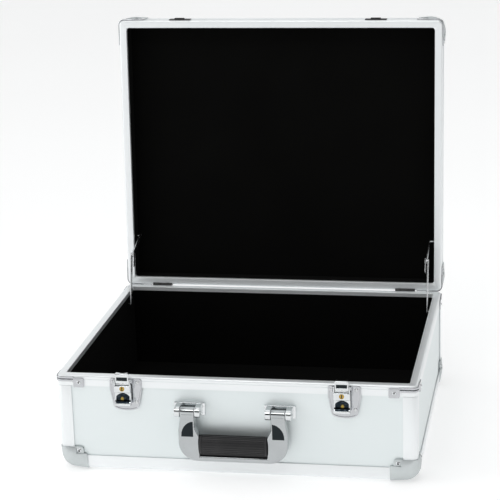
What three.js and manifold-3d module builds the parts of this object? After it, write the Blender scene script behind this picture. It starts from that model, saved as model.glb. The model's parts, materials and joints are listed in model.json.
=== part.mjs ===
// Aluminium-framed hard case with a hinged lid, two key-locked draw latches, a folding carrying
// handle and a folding stay at each end of the lid. Millimetres, +X right, -Y front, +Z up.
// The origin is the centre of the bottom panel's outer face. The lid is drawn standing open.

import * as THREE from "three";
import { mergeVertices } from "three/addons/utils/BufferGeometryUtils.js";
import { ConvexGeometry } from "three/addons/geometries/ConvexGeometry.js";
import Module from "manifold-3d";

const wasm = await Module();
wasm.setup();

// ---- Driving dimensions --------------------------------------------------------------------

const caseWidth = 460; // over the profiles, along X
const caseDepth = 386; // over the profiles, along Y
const baseHeight = 127.6; // lower shell, outer edge of the bottom frame to the rim
const lidHeight = 40; // upper shell, the same way
const openAngle = 93.4; // degrees from closed to fully open

const fit = 0.3; // gap left between pieces that touch
const seam = 0.4; // gap between the two rims when closed
const sheet = 1.5; // wall of the aluminium profiles
const panelThick = 5.2; // laminated wall panels
const liningThick = 3.3; // lining board covered with black cloth

const edge = { leg: 18.5, radius: 7 }; // angle profile along every outer edge
const rim = { lip: 14, bar: 6, radius: 2.5, fillet: 4, groove: 0.6, grooveAt: 5.1, grooveHalf: 0.4 };
const arcSteps = 4; // facets on a quarter round
const over = 1; // how far a cutting solid reaches past what it cuts
const seat = { beside: 18.8, corner: 36, deep: 0.3 }; // bottom panel's border under the fittings

// Cast corners over the outer corners: three bands over the profiles and an ear on each face
const ball = { proud: 3, radius: 20.5, leg: 35, up: 29.5, band: 21, trimRoom: 0.05, extra: 1 };
const ear = { from: 18.8, to: 30.5, proud: 1.2 };
// Pressed corners on both rims: a band round the corner with an ear at each end
const clip = { thick: 1.2, reach: 36, below: 1.8, band: 6.5, earWidth: 14, earDrop: 14 };

// Carrying handle on the front wall; out is measured outwards from the front face
const handle = {
  armCentre: 57.8,
  armWidth: 18.2,
  pivotUp: 89, // pivot height above the frame's lower edge
  pivotOut: 14,
  barrel: 6.5,
  pinRadius: 2,
  bulge: 2.7, // how far the arms widen outwards below the pivots
  bulgeDrop: 24,
  bottomUp: 25,
  strip: 6.5, // bright rim under the grip
  corner: 24,
  gripLength: 86,
  gripOut: 9.5, // half thickness of the grip
  gripHalf: 13.5, // half height of the grip
  core: { half: 6, out: 4 }, // bar that the grip is moulded on
};
const mount = { cheek: 7.3, side: 0.35, cheekRadius: 7, plateWidth: 40, plateHeight: 16.5, plate: 1.2 };

// Draw latches; up is measured from the rim, out from the front face
const latchCentre = 139.5;
const latchPlate = { half: 20.7, top: -1.8, waist: -17, tail: -39, tailHalf: 16.5, tip: -44.5, thick: 1.2 };
const lever = {
  shift: -2.5, // the lever stands left of the plate's centre
  half: 10.4,
  armHalf: 9,
  pivot: { out: 9.3, up: -2.2 },
  hookPin: { out: 8.2, up: -6.6 },
  eye: 2.3,
  pinBack: 5.6,
  pinRadius: 1.2,
  back: 4,
  front: 11,
  top: -8.3,
  shelf: -17.4,
  scoop: { out: 7.2, up: -20 },
  lip: { out: 12.4, up: -31.6 },
  bottom: -35,
  chamfer: 0.8,
  wall: 1.3,
};
const cheek = { gap: 0.4, thick: 1.5, radius: 2.4, foot: -9 };
const hook = { half: 8.6, back: 3.9, inner: 8.7, front: 10, top: 7.2, lip: 1.2, foot: -4, knuckle: 1.4 };
const hookWindow = { half: 7, low: -1.9, high: 2.7 };
const lock = { up: -12.4, radius: 3.2, proud: 0.5, length: 6, slotWide: 1, slotHigh: 4.4, slotDeep: 1.5 };
const keeper = { half: 15, low: 1.6, high: 13.8, thick: 1.2 };
const nub = { half: 7, low: 2, high: 5.4, out: 3.4 }; // ledge on the keeper that the hook draws on

// Butt hinges on the back wall, their pin on the line where the two rims meet
const hinge = {
  inset: 2, // from the rim corner's end
  length: 28,
  leaf: 22,
  thick: 1.2,
  knuckle: 2.6,
  pin: 1.2,
  middle: 12,
  room: 0.4,
};

// Folding lid stays, given from the hinge pin: the pivots make a parallelogram
const stay = {
  basePivot: { y: -51, z: -14.5 },
  lidPivot: { y: -70, z: 12.8 }, // with the lid closed
  inset: 5.5, // from the lining to the middle of the lower link
  thick: 1.6,
  half: 3.4,
  pin: 1.6,
};

// ---- Derived planes ------------------------------------------------------------------------

const halfX = caseWidth / 2;
const halfY = caseDepth / 2;
const panelFace = sheet + fit;
const panelRound = edge.radius - panelFace;
const hingeCentre = halfX - Math.max(ball.leg, clip.reach) - hinge.inset - hinge.length / 2;
const panelBack = panelFace + panelThick;
const liningFace = panelBack + fit;
const inner = liningFace + liningThick;
const frameZ = -panelFace; // lower edge of the bottom frame
const rimZ = frameZ + baseHeight;
const hingeZ = rimZ + seam / 2;
const rad = THREE.MathUtils.degToRad;

// ---- Materials -----------------------------------------------------------------------------

const finish = (color, roughness, metalness) =>
  new THREE.MeshStandardMaterial({ color, roughness, metalness });
const laminate = finish(0xdfe6e8, 0.35, 0.6);
const anodised = finish(0xd9dcde, 0.3, 0.9);
const castChrome = finish(0xc9ced1, 0.15, 1);
const brightChrome = finish(0xd8dadc, 0.08, 1);
const blackLining = finish(0x0b0b0c, 0.95, 0);
const blackRubber = finish(0x222326, 0.7, 0);
const brass = finish(0xc8a85a, 0.3, 1);
const wireSteel = finish(0xb9bcbd, 0.3, 1);

// ---- Shape tools ---------------------------------------------------------------------------

// A three.js geometry as a solid that can be joined and cut.
function solid(geometry) {
  const bare = new THREE.BufferGeometry();
  bare.setAttribute("position", geometry.getAttribute("position"));
  bare.setIndex(geometry.index);
  const merged = mergeVertices(bare, 1e-4);
  return new wasm.Manifold(
    new wasm.Mesh({
      numProp: 3,
      vertProperties: merged.attributes.position.array,
      triVerts: new Uint32Array(merged.index.array),
    }),
  );
}

function asGeometry(body) {
  const mesh = body.getMesh();
  const geometry = new THREE.BufferGeometry();
  const points = new Float32Array(mesh.vertProperties);
  geometry.setAttribute("position", new THREE.BufferAttribute(points, 3));
  geometry.setIndex(new THREE.BufferAttribute(new Uint32Array(mesh.triVerts), 1));
  return geometry.toNonIndexed();
}

const join = (first, ...rest) => rest.reduce((sum, next) => sum.add(next), first);
const cut = (first, ...rest) => rest.reduce((left, next) => left.subtract(next), first);

function addNode(group, name, body, material) {
  const geometry = asGeometry(body);
  geometry.computeVertexNormals();
  const mesh = new THREE.Mesh(geometry, material);
  mesh.name = name;
  group.add(mesh);
  return mesh;
}

// A box from its lowest to its highest corner, in any order.
function box([x0, y0, z0], [x1, y1, z1]) {
  const geometry = new THREE.BoxGeometry(Math.abs(x1 - x0), Math.abs(y1 - y0), Math.abs(z1 - z0));
  geometry.translate((x0 + x1) / 2, (y0 + y1) / 2, (z0 + z1) / 2);
  return solid(geometry);
}

// Points of an arc in a plane, both ends included; angles in degrees.
function arc(cx, cy, radius, from, to, steps = arcSteps) {
  const points = [];
  for (let i = 0; i <= steps; i += 1) {
    const a = rad(from + ((to - from) * i) / steps);
    points.push([cx + radius * Math.cos(a), cy + radius * Math.sin(a)]);
  }
  return points;
}


// An outline extruded upwards, from z0 to z1.
function upright(outline, z0, z1) {
  const shape = new THREE.Shape(outline.map(([x, y]) => new THREE.Vector2(x, y)));
  const geometry = new THREE.ExtrudeGeometry(shape, { depth: z1 - z0, bevelEnabled: false });
  return solid(geometry.translate(0, 0, z0));
}

// A side view [out, up] of a piece on the front wall, extruded from x0 to x1.
function acrossFront(outline, x0, x1, z = 0) {
  const shape = new THREE.Shape(outline.map(([x, y]) => new THREE.Vector2(x, y)));
  const geometry = new THREE.ExtrudeGeometry(shape, { depth: x1 - x0, bevelEnabled: false });
  const turn = new THREE.Matrix4().makeBasis(
    new THREE.Vector3(0, -1, 0),
    new THREE.Vector3(0, 0, 1),
    new THREE.Vector3(-1, 0, 0),
  );
  geometry.applyMatrix4(turn);
  return solid(geometry.translate(x1, -halfY, z));
}

// A front view [x, up] of a piece on the front wall, extruded from out0 to out1.
function outOfFront(outline, out0, out1, z = 0) {
  const shape = new THREE.Shape(outline.map(([x, y]) => new THREE.Vector2(x, y)));
  const geometry = new THREE.ExtrudeGeometry(shape, { depth: out1 - out0, bevelEnabled: false });
  geometry.rotateX(Math.PI / 2);
  return solid(geometry.translate(0, -halfY - out0, z));
}

// A rod along X.
function rodX(x0, x1, y, z, radius, steps = 12) {
  const geometry = new THREE.CylinderGeometry(radius, radius, x1 - x0, steps);
  geometry.rotateZ(Math.PI / 2);
  return solid(geometry.translate((x0 + x1) / 2, y, z));
}

// A profile section [inwards, up] carried round the four sides, with rounded corners that
// are concentric with the outer one down to the least radius.
function frameRing(section, cornerRadius, leastRadius) {
  const area = section.reduce((sum, [u, v], i) => {
    const [un, vn] = section[(i + 1) % section.length];
    return sum + u * vn - un * v;
  }, 0);
  const loop = area > 0 ? [...section].reverse() : section;
  const stations = 4 * (arcSteps + 1);
  const points = [];
  for (let k = 0; k < stations; k += 1) {
    const quarter = Math.floor(k / (arcSteps + 1));
    const angle = rad(90 * (quarter + (k % (arcSteps + 1)) / arcSteps));
    const sideX = quarter === 0 || quarter === 3 ? 1 : -1;
    const sideY = quarter < 2 ? 1 : -1;
    for (const [u, v] of loop) {
      const r = Math.max(cornerRadius - u, leastRadius);
      const x = sideX * (halfX - u - r) + r * Math.cos(angle);
      const y = sideY * (halfY - u - r) + r * Math.sin(angle);
      points.push(x, y, v);
    }
  }
  const index = [];
  const n = loop.length;
  for (let k = 0; k < stations; k += 1) {
    for (let s = 0; s < n; s += 1) {
      const a = k * n + s;
      const b = ((k + 1) % stations) * n + s;
      const c = ((k + 1) % stations) * n + ((s + 1) % n);
      const d = k * n + ((s + 1) % n);
      index.push(a, b, c, a, c, d);
    }
  }
  const geometry = new THREE.BufferGeometry();
  geometry.setAttribute("position", new THREE.Float32BufferAttribute(points, 3));
  geometry.setIndex(index);
  return solid(geometry);
}

// ---- Corners -------------------------------------------------------------------------------

const corners = [
  { name: "front_left", sx: -1, sy: -1 },
  { name: "front_right", sx: 1, sy: -1 },
  { name: "back_left", sx: -1, sy: 1 },
  { name: "back_right", sx: 1, sy: 1 },
];

// A point given inwards from a corner's three outer faces.
const fromCorner = ({ sx, sy }, a, b, c) => [sx * (halfX - a), sy * (halfY - b), c];

// A corner block with round edges that swell into a ball. Its faces stand proud of the shell,
// its edges run leg[i] along each axis, and each face is band wide where it ends.
function cornerBlock(corner, { proud, edgeRadius, ballRadius, legs, band }) {
  const points = [];
  const add = (p) => points.push(new THREE.Vector3(...fromCorner(corner, ...p)));
  const centre = ballRadius - proud;
  for (let i = 0; i <= arcSteps; i += 1) {
    const tilt = rad((90 * i) / arcSteps);
    const ring = ballRadius * Math.cos(tilt);
    for (let j = 0; j <= arcSteps; j += 1) {
      const turn = rad((90 * j) / arcSteps);
      const level = centre - ballRadius * Math.sin(tilt);
      add([centre - ring * Math.cos(turn), centre - ring * Math.sin(turn), level]);
    }
  }
  const round = arc(edgeRadius - proud, edgeRadius - proud, edgeRadius, 180, 270);
  const end = [...round, [band, -proud], [-proud, band], [band, band]];
  for (let axis = 0; axis < 3; axis += 1) {
    for (const [s, t] of end) {
      const p = [s, t];
      p.splice(axis, 0, legs[axis]);
      add(p);
    }
  }
  return solid(new ConvexGeometry(points));
}

// The band up a corner and the bands along the sides stop short of the rim corner's ears.
const upLeg = (height) => Math.min(ball.up, height - clip.below - clip.earDrop - fit);
const bandWidth = (height) => Math.min(ball.band, upLeg(height));

// The shape inside a ball corner, with its edges carried a little past the bands' ends.
function cornerCore(corner, height, proud, band) {
  return cornerBlock(corner, {
    proud,
    edgeRadius: edge.radius + proud,
    ballRadius: ball.radius - ball.proud + proud,
    legs: [ball.leg, ball.leg, upLeg(height)].map((leg) => leg + ball.extra),
    band,
  });
}

// Profiles and panels are cut back so that they lie inside the ball corners.
function trimmed(body, height) {
  const reach = ball.leg + ball.extra;
  const cutters = corners.map((corner) => {
    const far = fromCorner(corner, reach, reach, upLeg(height) + ball.extra);
    return cut(box(fromCorner(corner, -1, -1, -1), far), cornerCore(corner, height, ball.trimRoom, reach));
  });
  return cut(body, ...cutters);
}

// A cast corner: bands over the three edges, and an ear on each face that has room for one.
function ballCorner(corner, height, sideEars) {
  const band = bandWidth(height);
  let body = cornerBlock(corner, {
    proud: ball.proud,
    edgeRadius: edge.radius + ball.proud,
    ballRadius: ball.radius,
    legs: [ball.leg, ball.leg, upLeg(height)],
    band,
  });
  const far = ball.leg + band;
  body = cut(body, cornerCore(corner, height, fit, far));
  // On each face the ear lies lower than the bands, seated on the panel.
  const faces = sideEars ? [0, 1, 2] : [2];
  for (const axis of [0, 1, 2]) {
    const step = (near, deep) => {
      const p = [near, near];
      p.splice(axis, 0, deep);
      return fromCorner(corner, ...p);
    };
    body = cut(body, box(step(band, -far), step(far, -ear.proud)));
    if (!faces.includes(axis)) body = cut(body, box(step(band, -far), step(far, far)));
    else body = join(body, box(step(ear.from, -ear.proud), step(ear.to, sheet)));
  }
  return body;
}

// A pressed corner round the rim: an L-shaped band and an ear near each end.
function rimCorner({ sx, sy }, height) {
  const near = -(fit + clip.thick);
  const outer = edge.radius - near;
  const inside = outer - clip.thick;
  const centre = edge.radius;
  const reach = clip.reach;
  const path = [
    [reach, near],
    ...arc(centre, centre, outer, 270, 180),
    [near, reach],
    [near + clip.thick, reach],
    ...arc(centre, centre, inside, 180, 270),
    [reach, near + clip.thick],
  ];
  const turned = path.map(([a, b]) => [sx * (halfX - a), sy * (halfY - b)]);
  const outline = sx * sy > 0 ? turned.reverse() : turned;
  const top = height - clip.below;
  const band = upright(outline, top - clip.band, top);
  const mapped = (a, b, c) => [sx * (halfX - a), sy * (halfY - b), c];
  const from = reach - clip.earWidth;
  const low = top - clip.earDrop;
  const earX = box(mapped(from, near, low), mapped(reach, near + clip.thick, top - over));
  const earY = box(mapped(near, from, low), mapped(near + clip.thick, reach, top - over));
  return join(band, earX, earY);
}

// ---- Shells --------------------------------------------------------------------------------

// Each shell is built standing on its outer face, z from 0 there to its height at the rim.

// The bottom panel's border is let in a little where the frame and the corners lie over it, so
// that its middle is a free flat face.
function seated(panel) {
  const { beside, corner, deep } = seat;
  const field = (insetX, insetY) =>
    box([-halfX + insetX, -halfY + insetY, 0], [halfX - insetX, halfY - insetY, panelBack]);
  const skin = box([-halfX, -halfY, 0], [halfX, halfY, panelFace + deep]);
  return cut(panel, cut(skin, field(beside, corner), field(corner, beside)));
}

function floorPanel(height) {
  const points = [];
  const layer = (inset, z) => {
    const r = Math.max(edge.radius - inset, fit);
    for (const { sx, sy } of corners) {
      for (const [u, v] of arc(inset + r, inset + r, r, 180, 270)) {
        points.push(new THREE.Vector3(sx * (halfX - u), sy * (halfY - v), z));
      }
    }
  };
  // Its outer edge is rounded to lie inside the edge frame.
  arc(edge.radius, edge.radius, panelRound, 180, 270).forEach(([u, z]) => layer(u, z));
  layer(panelFace, panelBack);
  return trimmed(solid(new ConvexGeometry(points)), height);
}

function crossWall(sy, height) {
  const low = liningFace;
  const high = height - rim.bar - fit;
  const x = halfX - panelFace;
  const y = halfY - panelFace;
  const r = Math.min(panelRound, panelThick);
  const outline = [
    ...arc(x - r, y - r, r, 0, 90),
    ...arc(-x + r, y - r, r, 90, 180),
    [-x, y - panelThick],
    [x, y - panelThick],
  ];
  const clean = outline.filter(([u, v], i) => {
    const [pu, pv] = outline[(i + outline.length - 1) % outline.length];
    return Math.hypot(u - pu, v - pv) > fit / 10;
  });
  const turned = clean.map(([u, v]) => [u, sy * v]);
  return trimmed(upright(sy > 0 ? turned : turned.reverse(), low, high), height);
}

function endWall(sx, height) {
  const low = [sx * (halfX - panelBack), -(halfY - panelBack - fit), liningFace];
  const high = [sx * (halfX - panelFace), halfY - panelBack - fit, height - rim.bar - fit];
  return trimmed(box(low, high), height);
}

function edgeFrame(height) {
  const r = edge.radius;
  const section = [
    [0, edge.leg],
    ...arc(r, r, r, 180, 270),
    [edge.leg, 0],
    [edge.leg, sheet],
    ...arc(r, r, r - sheet, 270, 180),
    [sheet, edge.leg],
  ];
  return trimmed(frameRing(section, r, fit), height);
}

function cornerPost(corner, height) {
  const r = edge.radius;
  const path = [
    [0, edge.leg],
    ...arc(r, r, r, 180, 270),
    [edge.leg, 0],
    [edge.leg, sheet],
    ...arc(r, r, r - sheet, 270, 180),
    [sheet, edge.leg],
  ];
  const turned = path.map(([a, b]) => fromCorner(corner, a, b, 0).slice(0, 2));
  const outline = corner.sx * corner.sy > 0 ? turned.reverse() : turned;
  return trimmed(upright(outline.reverse(), edge.leg + fit, height - rim.lip - fit), height);
}

// Room in a rim for the hinge knuckles, on the back side of the lower shell.
function knuckleRoom(side, height) {
  const room = hinge.knuckle + hinge.room;
  const x = hinge.length / 2 + hinge.room;
  return [-1, 1].map((sx) =>
    box(
      [sx * hingeCentre - x, side * (halfY + over), height - room],
      [sx * hingeCentre + x, side * (halfY - room), height + over],
    ),
  );
}

function rimFrame(height, backSide) {
  const r = rim.radius;
  const level = (down) => height - down;
  const section = [
    [0, level(rim.lip)],
    [0, level(rim.grooveAt + rim.grooveHalf)],
    [rim.groove, level(rim.grooveAt)],
    [0, level(rim.grooveAt - rim.grooveHalf)],
    ...arc(r, level(r), r, 180, 90),
    [inner, level(0)],
    [inner, level(rim.bar)],
    [sheet, level(rim.bar)],
    [sheet, level(rim.lip)],
  ];
  return cut(frameRing(section, edge.radius, rim.fillet), ...knuckleRoom(backSide, height));
}

function lining(height) {
  const high = height - rim.bar - fit;
  const block = (inset, top) =>
    box([-halfX + inset, -halfY + inset, inset], [halfX - inset, halfY - inset, top]);
  return cut(block(liningFace, high), block(inner, high + over));
}

function buildShell(group, prefix, height, backSide, hasPosts) {
  const names = backSide > 0 ? ["front", "back"] : ["back", "front"];
  const floor = floorPanel(height);
  if (hasPosts) addNode(group, prefix + "_bottom_panel", seated(floor), laminate);
  else addNode(group, prefix + "_top_panel", floor, laminate);
  addNode(group, prefix + "_" + names[0] + "_panel", crossWall(-1, height), laminate);
  addNode(group, prefix + "_" + names[1] + "_panel", crossWall(1, height), laminate);
  addNode(group, prefix + "_left_panel", endWall(-1, height), laminate);
  addNode(group, prefix + "_right_panel", endWall(1, height), laminate);
  addNode(group, prefix + "_edge_frame", edgeFrame(height), anodised);
  addNode(group, prefix + "_rim_frame", rimFrame(height, backSide), anodised);
  addNode(group, prefix + "_lining", lining(height), blackLining);
  for (const corner of corners) {
    const place = backSide > 0 ? corner : { ...corner, sy: -corner.sy };
    if (hasPosts) {
      const post = cornerPost(place, height);
      addNode(group, `${prefix}_corner_post_${corner.name}`, post, anodised);
    }
    const cast = ballCorner(place, height, hasPosts);
    addNode(group, `${prefix}_ball_corner_${corner.name}`, cast, castChrome);
    addNode(group, `${prefix}_rim_corner_${corner.name}`, rimCorner(place, height), brightChrome);
  }
}

// ---- Handle --------------------------------------------------------------------------------

function handleMount(sx) {
  const z = frameZ + handle.pivotUp;
  const r = mount.cheekRadius;
  const side = [[-fit, -r], ...arc(handle.pivotOut, 0, r, -90, 90), [-fit, r]];
  const gap = handle.armWidth / 2 + mount.side;
  const cheekAt = (near) => {
    const x = sx * handle.armCentre + near;
    return acrossFront(side, x, x + mount.cheek, z);
  };
  const half = mount.plateWidth / 2;
  const x = sx * handle.armCentre;
  const high = z + r + fit;
  const low = high - mount.plateHeight;
  const plate = box([x - half, -halfY + sheet, low], [x + half, -halfY - mount.plate, high]);
  const bore = rodX(x - half - over, x + half + over, -halfY - handle.pivotOut, z, handle.pinRadius + fit);
  return cut(join(plate, cheekAt(gap), cheekAt(-gap - mount.cheek)), bore);
}

function handlePin(sx) {
  const x = sx * handle.armCentre;
  const half = handle.armWidth / 2 + mount.side + mount.cheek;
  return rodX(x - half, x + half, -halfY - handle.pivotOut, frameZ + handle.pivotUp, handle.pinRadius);
}

// The bail hangs from its pivots: two arms, a bright bottom rim and a bar through the grip.
function handleBail() {
  const inside = handle.armCentre - handle.armWidth / 2;
  const outside = handle.armCentre + handle.armWidth / 2;
  const wide = outside + handle.bulge;
  const low = handle.bottomUp;
  const bulgeTop = handle.pivotUp - handle.barrel - fit - 1;
  const bulgeEnd = handle.pivotUp - handle.bulgeDrop;
  const bend = handle.corner;
  const right = [
    ...arc(wide - bend, low + bend, bend, -90, 0, 2 * arcSteps),
    [wide, bulgeEnd],
    [outside, bulgeTop],
    [outside, handle.pivotUp],
    [inside, handle.pivotUp],
    [inside, bulgeEnd],
    [handle.gripLength / 2 + fit, handle.pivotUp - handle.bulgeDrop - handle.strip],
    [handle.gripLength / 2 + fit, low + handle.strip],
  ];
  const outline = [...right, ...right.map(([x, z]) => [-x, z]).reverse()];
  const { pivotOut, barrel } = handle;
  const frame = outOfFront(outline, pivotOut - barrel, pivotOut + barrel, frameZ);
  const y = -halfY - handle.pivotOut;
  const z = frameZ + handle.pivotUp;
  const eyes = [-1, 1].map((sx) => {
    const x = sx * handle.armCentre;
    return rodX(x - handle.armWidth / 2, x + handle.armWidth / 2, y, z, handle.barrel, 16);
  });
  const reach = handle.gripLength / 2 + 1;
  const middle = frameZ + gripUp;
  const bar = box(
    [-reach, y - handle.core.out, middle - handle.core.half],
    [reach, y + handle.core.out, middle + handle.core.half],
  );
  const bore = rodX(-halfX, halfX, y, z, handle.pinRadius + fit);
  return cut(join(frame, bar, ...eyes), bore);
}

const gripUp = handle.bottomUp + handle.strip + fit + handle.gripHalf;

function handleGrip() {
  const half = handle.gripLength / 2;
  const steps = 16;
  const oval = [];
  for (let i = 0; i < steps; i += 1) {
    const a = (2 * Math.PI * i) / steps;
    oval.push([handle.pivotOut + handle.gripOut * Math.cos(a), handle.gripHalf * Math.sin(a)]);
  }
  const y = -halfY - handle.pivotOut;
  const z = frameZ + gripUp;
  const roomOut = handle.core.out + fit;
  const roomUp = handle.core.half + fit;
  const tunnel = box([-half - over, y - roomOut, z - roomUp], [half + over, y + roomOut, z + roomUp]);
  return cut(acrossFront(oval, -half, half, z), tunnel);
}

// ---- Latches -------------------------------------------------------------------------------

function latchPlateSolid(x) {
  const p = latchPlate;
  const outline = [
    [x - p.half, p.top],
    [x - p.half, p.waist],
    [x - p.tailHalf, p.tail],
    [x, p.tip],
    [x + p.tailHalf, p.tail],
    [x + p.half, p.waist],
    [x + p.half, p.top],
  ];
  // Below the rim's lip a pad behind the plate takes up the step down to the panel.
  const pad = outOfFront(outline.slice(1, -1), fit - panelFace, fit + p.thick / 2, rimZ);
  const plate = join(outOfFront(outline, fit, fit + p.thick, rimZ), pad);
  const { out, up } = lever.pivot;
  const side = [[fit, cheek.foot], ...arc(out, up, cheek.radius, -90, 90), [fit, p.top]];
  const from = lever.half + cheek.gap;
  const middle = x + lever.shift;
  const cheeks = [-1, 1].map((sx) => {
    const near = sx * from;
    const far = sx * (from + cheek.thick);
    return acrossFront(side, middle + Math.min(near, far), middle + Math.max(near, far), rimZ);
  });
  const reach = from + cheek.thick + 1;
  const bore = rodX(middle - reach, middle + reach, -halfY - out, rimZ + up, lever.pinRadius + fit);
  return cut(join(plate, ...cheeks), bore);
}

function leverSolid(x) {
  const l = lever;
  const middle = x + l.shift;
  const outside = [
    [l.back, l.bottom],
    [l.lip.out, l.bottom],
    [l.lip.out, l.lip.up],
    [l.scoop.out, l.scoop.up],
    [l.front, l.shelf],
    [l.front, l.top - l.chamfer],
    [l.front - l.chamfer, l.top],
    [l.back, l.top],
  ];
  const w = l.wall;
  const inside = [
    [l.back - over, l.bottom + w],
    [l.lip.out - 2 * w, l.bottom + w],
    [l.scoop.out - w, l.scoop.up],
    [l.front - w, l.shelf + w],
    [l.front - w, l.top - w],
    [l.back - over, l.top - w],
  ];
  const shell = acrossFront(outside, middle - l.half, middle + l.half, rimZ);
  const hollow = acrossFront(inside, middle - l.half + w, middle + l.half - w, rimZ);
  const { out, up } = l.pivot;
  const arms = [-1, 1].map((sx) => {
    const near = middle + sx * l.armHalf;
    const far = middle + sx * l.half;
    const eye = arc(out, up, l.eye, 0, 180, 2 * arcSteps);
    const side = [[l.front - l.chamfer, l.top - fit], ...eye, [l.pinBack, l.top - fit]];
    const arm = acrossFront(side, Math.min(near, far), Math.max(near, far), rimZ);
    const stub = middle + sx * (l.half + cheek.gap + cheek.thick);
    const pin = rodX(Math.min(near, stub), Math.max(near, stub), -halfY - out, rimZ + up, l.pinRadius);
    return join(arm, pin);
  });
  const pin = l.hookPin;
  const reach = l.half + 1;
  const bore = rodX(middle - reach, middle + reach, -halfY - pin.out, rimZ + pin.up, l.pinRadius);
  const lockRoom = lock.radius + fit;
  const bored = new THREE.CylinderGeometry(lockRoom, lockRoom, 2 * lock.length + over, 16);
  const opening = solid(bored.translate(middle, -halfY - l.front, rimZ + lock.up));
  return cut(join(cut(shell, hollow), ...arms), bore, opening);
}

function hookSolid(x) {
  const h = hook;
  const middle = x + lever.shift;
  const pin = lever.hookPin;
  const side = [
    [pin.out - h.knuckle / 2, pin.up],
    [pin.out + h.knuckle / 2, pin.up],
    [h.front, h.foot],
    [h.front, h.top],
    [h.back, h.top],
    [h.back, h.top - h.lip],
    [h.inner, h.top - h.lip],
    [h.inner, h.foot + fit],
  ];
  const plate = acrossFront(side, middle - h.half, middle + h.half, rimZ);
  const y = -halfY - pin.out;
  const z = rimZ + pin.up;
  const knuckle = rodX(middle - h.half, middle + h.half, y, z, h.knuckle);
  const end = lever.half - fit;
  const axle = rodX(middle - end, middle + end, y, z, lever.pinRadius - fit);
  const w = hookWindow;
  const opening = box(
    [middle - w.half, -halfY - h.front - over, rimZ + w.low],
    [middle + w.half, -halfY - h.inner + over, rimZ + w.high],
  );
  return cut(join(plate, knuckle, axle), opening);
}

function lockCylinder(x) {
  const middle = x + lever.shift;
  const front = lever.front + lock.proud;
  const barrel = new THREE.CylinderGeometry(lock.radius, lock.radius, lock.length, 16);
  const z = rimZ + lock.up;
  const body = solid(barrel.translate(middle, -halfY - front + lock.length / 2, z));
  const slot = box(
    [middle - lock.slotWide / 2, -halfY - front - over, z - lock.slotHigh / 2],
    [middle + lock.slotWide / 2, -halfY - front + lock.slotDeep, z + lock.slotHigh / 2],
  );
  return cut(body, slot);
}

// The keeper is on the lid; its frame has the hinge pin as origin and the lid closed.
function keeperSolid(x) {
  const k = keeper;
  const middle = x + lever.shift;
  const y = -caseDepth;
  const z = seam / 2;
  const back = y - fit;
  const plate = box([middle - k.half, back, z + k.low], [middle + k.half, back - k.thick, z + k.high]);
  const ledge = box([middle - nub.half, back, z + nub.low], [middle + nub.half, y - nub.out, z + nub.high]);
  return join(plate, ledge);
}

// ---- Hinges --------------------------------------------------------------------------------

// Both leaves are given from the hinge pin, out to the back and up. The lid's leaf stands on
// the middle knuckle, the base's leaf hangs from the two end knuckles and holds the pin.
function hingeLeaf(x, ofLid) {
  const h = hinge;
  const dir = ofLid ? 1 : -1;
  const half = h.length / 2;
  const clear = h.knuckle + h.room;
  const plate = box([x - half, fit, dir * clear], [x + half, fit + h.thick, dir * (clear + h.leaf)]);
  const middle = h.middle / 2 - fit / 2;
  const spans = ofLid
    ? [[-middle, middle]]
    : [
        [-half, -middle - fit],
        [middle + fit, half],
      ];
  const parts = spans.flatMap(([a, b]) => [
    rodX(x + a, x + b, 0, 0, h.knuckle),
    box([x + a, fit, 0], [x + b, fit + h.thick, dir * (clear + over)]),
  ]);
  const leaf = join(plate, ...parts);
  if (ofLid) return cut(leaf, rodX(x - half, x + half, 0, 0, h.pin + fit));
  return join(leaf, rodX(x - half, x + half, 0, 0, h.pin));
}

// ---- Lid stays -----------------------------------------------------------------------------

// A flat link in a plane of constant x between two pivots [y, z], with round ends.
function linkPlate([y0, z0], [y1, z1], x0, x1) {
  const turn = THREE.MathUtils.radToDeg(Math.atan2(z1 - z0, y1 - y0));
  const outline = [
    ...arc(y1, z1, stay.half, turn - 90, turn + 90, 2 * arcSteps),
    ...arc(y0, z0, stay.half, turn + 90, turn + 270, 2 * arcSteps),
  ];
  const shape = new THREE.Shape(outline.map(([x, y]) => new THREE.Vector2(x, y)));
  const geometry = new THREE.ExtrudeGeometry(shape, { depth: x1 - x0, bevelEnabled: false });
  const axes = new THREE.Matrix4().makeBasis(
    new THREE.Vector3(0, 1, 0),
    new THREE.Vector3(0, 0, 1),
    new THREE.Vector3(1, 0, 0),
  );
  geometry.applyMatrix4(axes);
  return solid(geometry.translate(x0, 0, 0));
}

function stayPoints() {
  const { y, z } = stay.lidPivot;
  const a = rad(-openAngle);
  const lidPivot = [y * Math.cos(a) - z * Math.sin(a), y * Math.sin(a) + z * Math.cos(a)];
  const basePivot = [stay.basePivot.y, stay.basePivot.z];
  const elbow = [basePivot[0] + lidPivot[0], basePivot[1] + lidPivot[1]];
  return { lidPivot, basePivot, elbow };
}

const span = (a, b) => [Math.min(a, b), Math.max(a, b)];

// The lower link turns on the base and carries the elbow pin.
function stayLower(sx) {
  const { basePivot, elbow } = stayPoints();
  const wall = halfX - inner;
  const middle = wall - stay.inset;
  const t = stay.thick / 2;
  const link = linkPlate(basePivot, elbow, ...span(sx * (middle - t), sx * (middle + t)));
  const boss = rodX(...span(sx * (middle - t), sx * (wall - fit)), ...basePivot, stay.pin);
  const tip = middle - 3 * t - 2 * fit;
  const pin = rodX(...span(sx * tip, sx * middle), ...elbow, stay.pin);
  return join(link, boss, pin);
}

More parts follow.
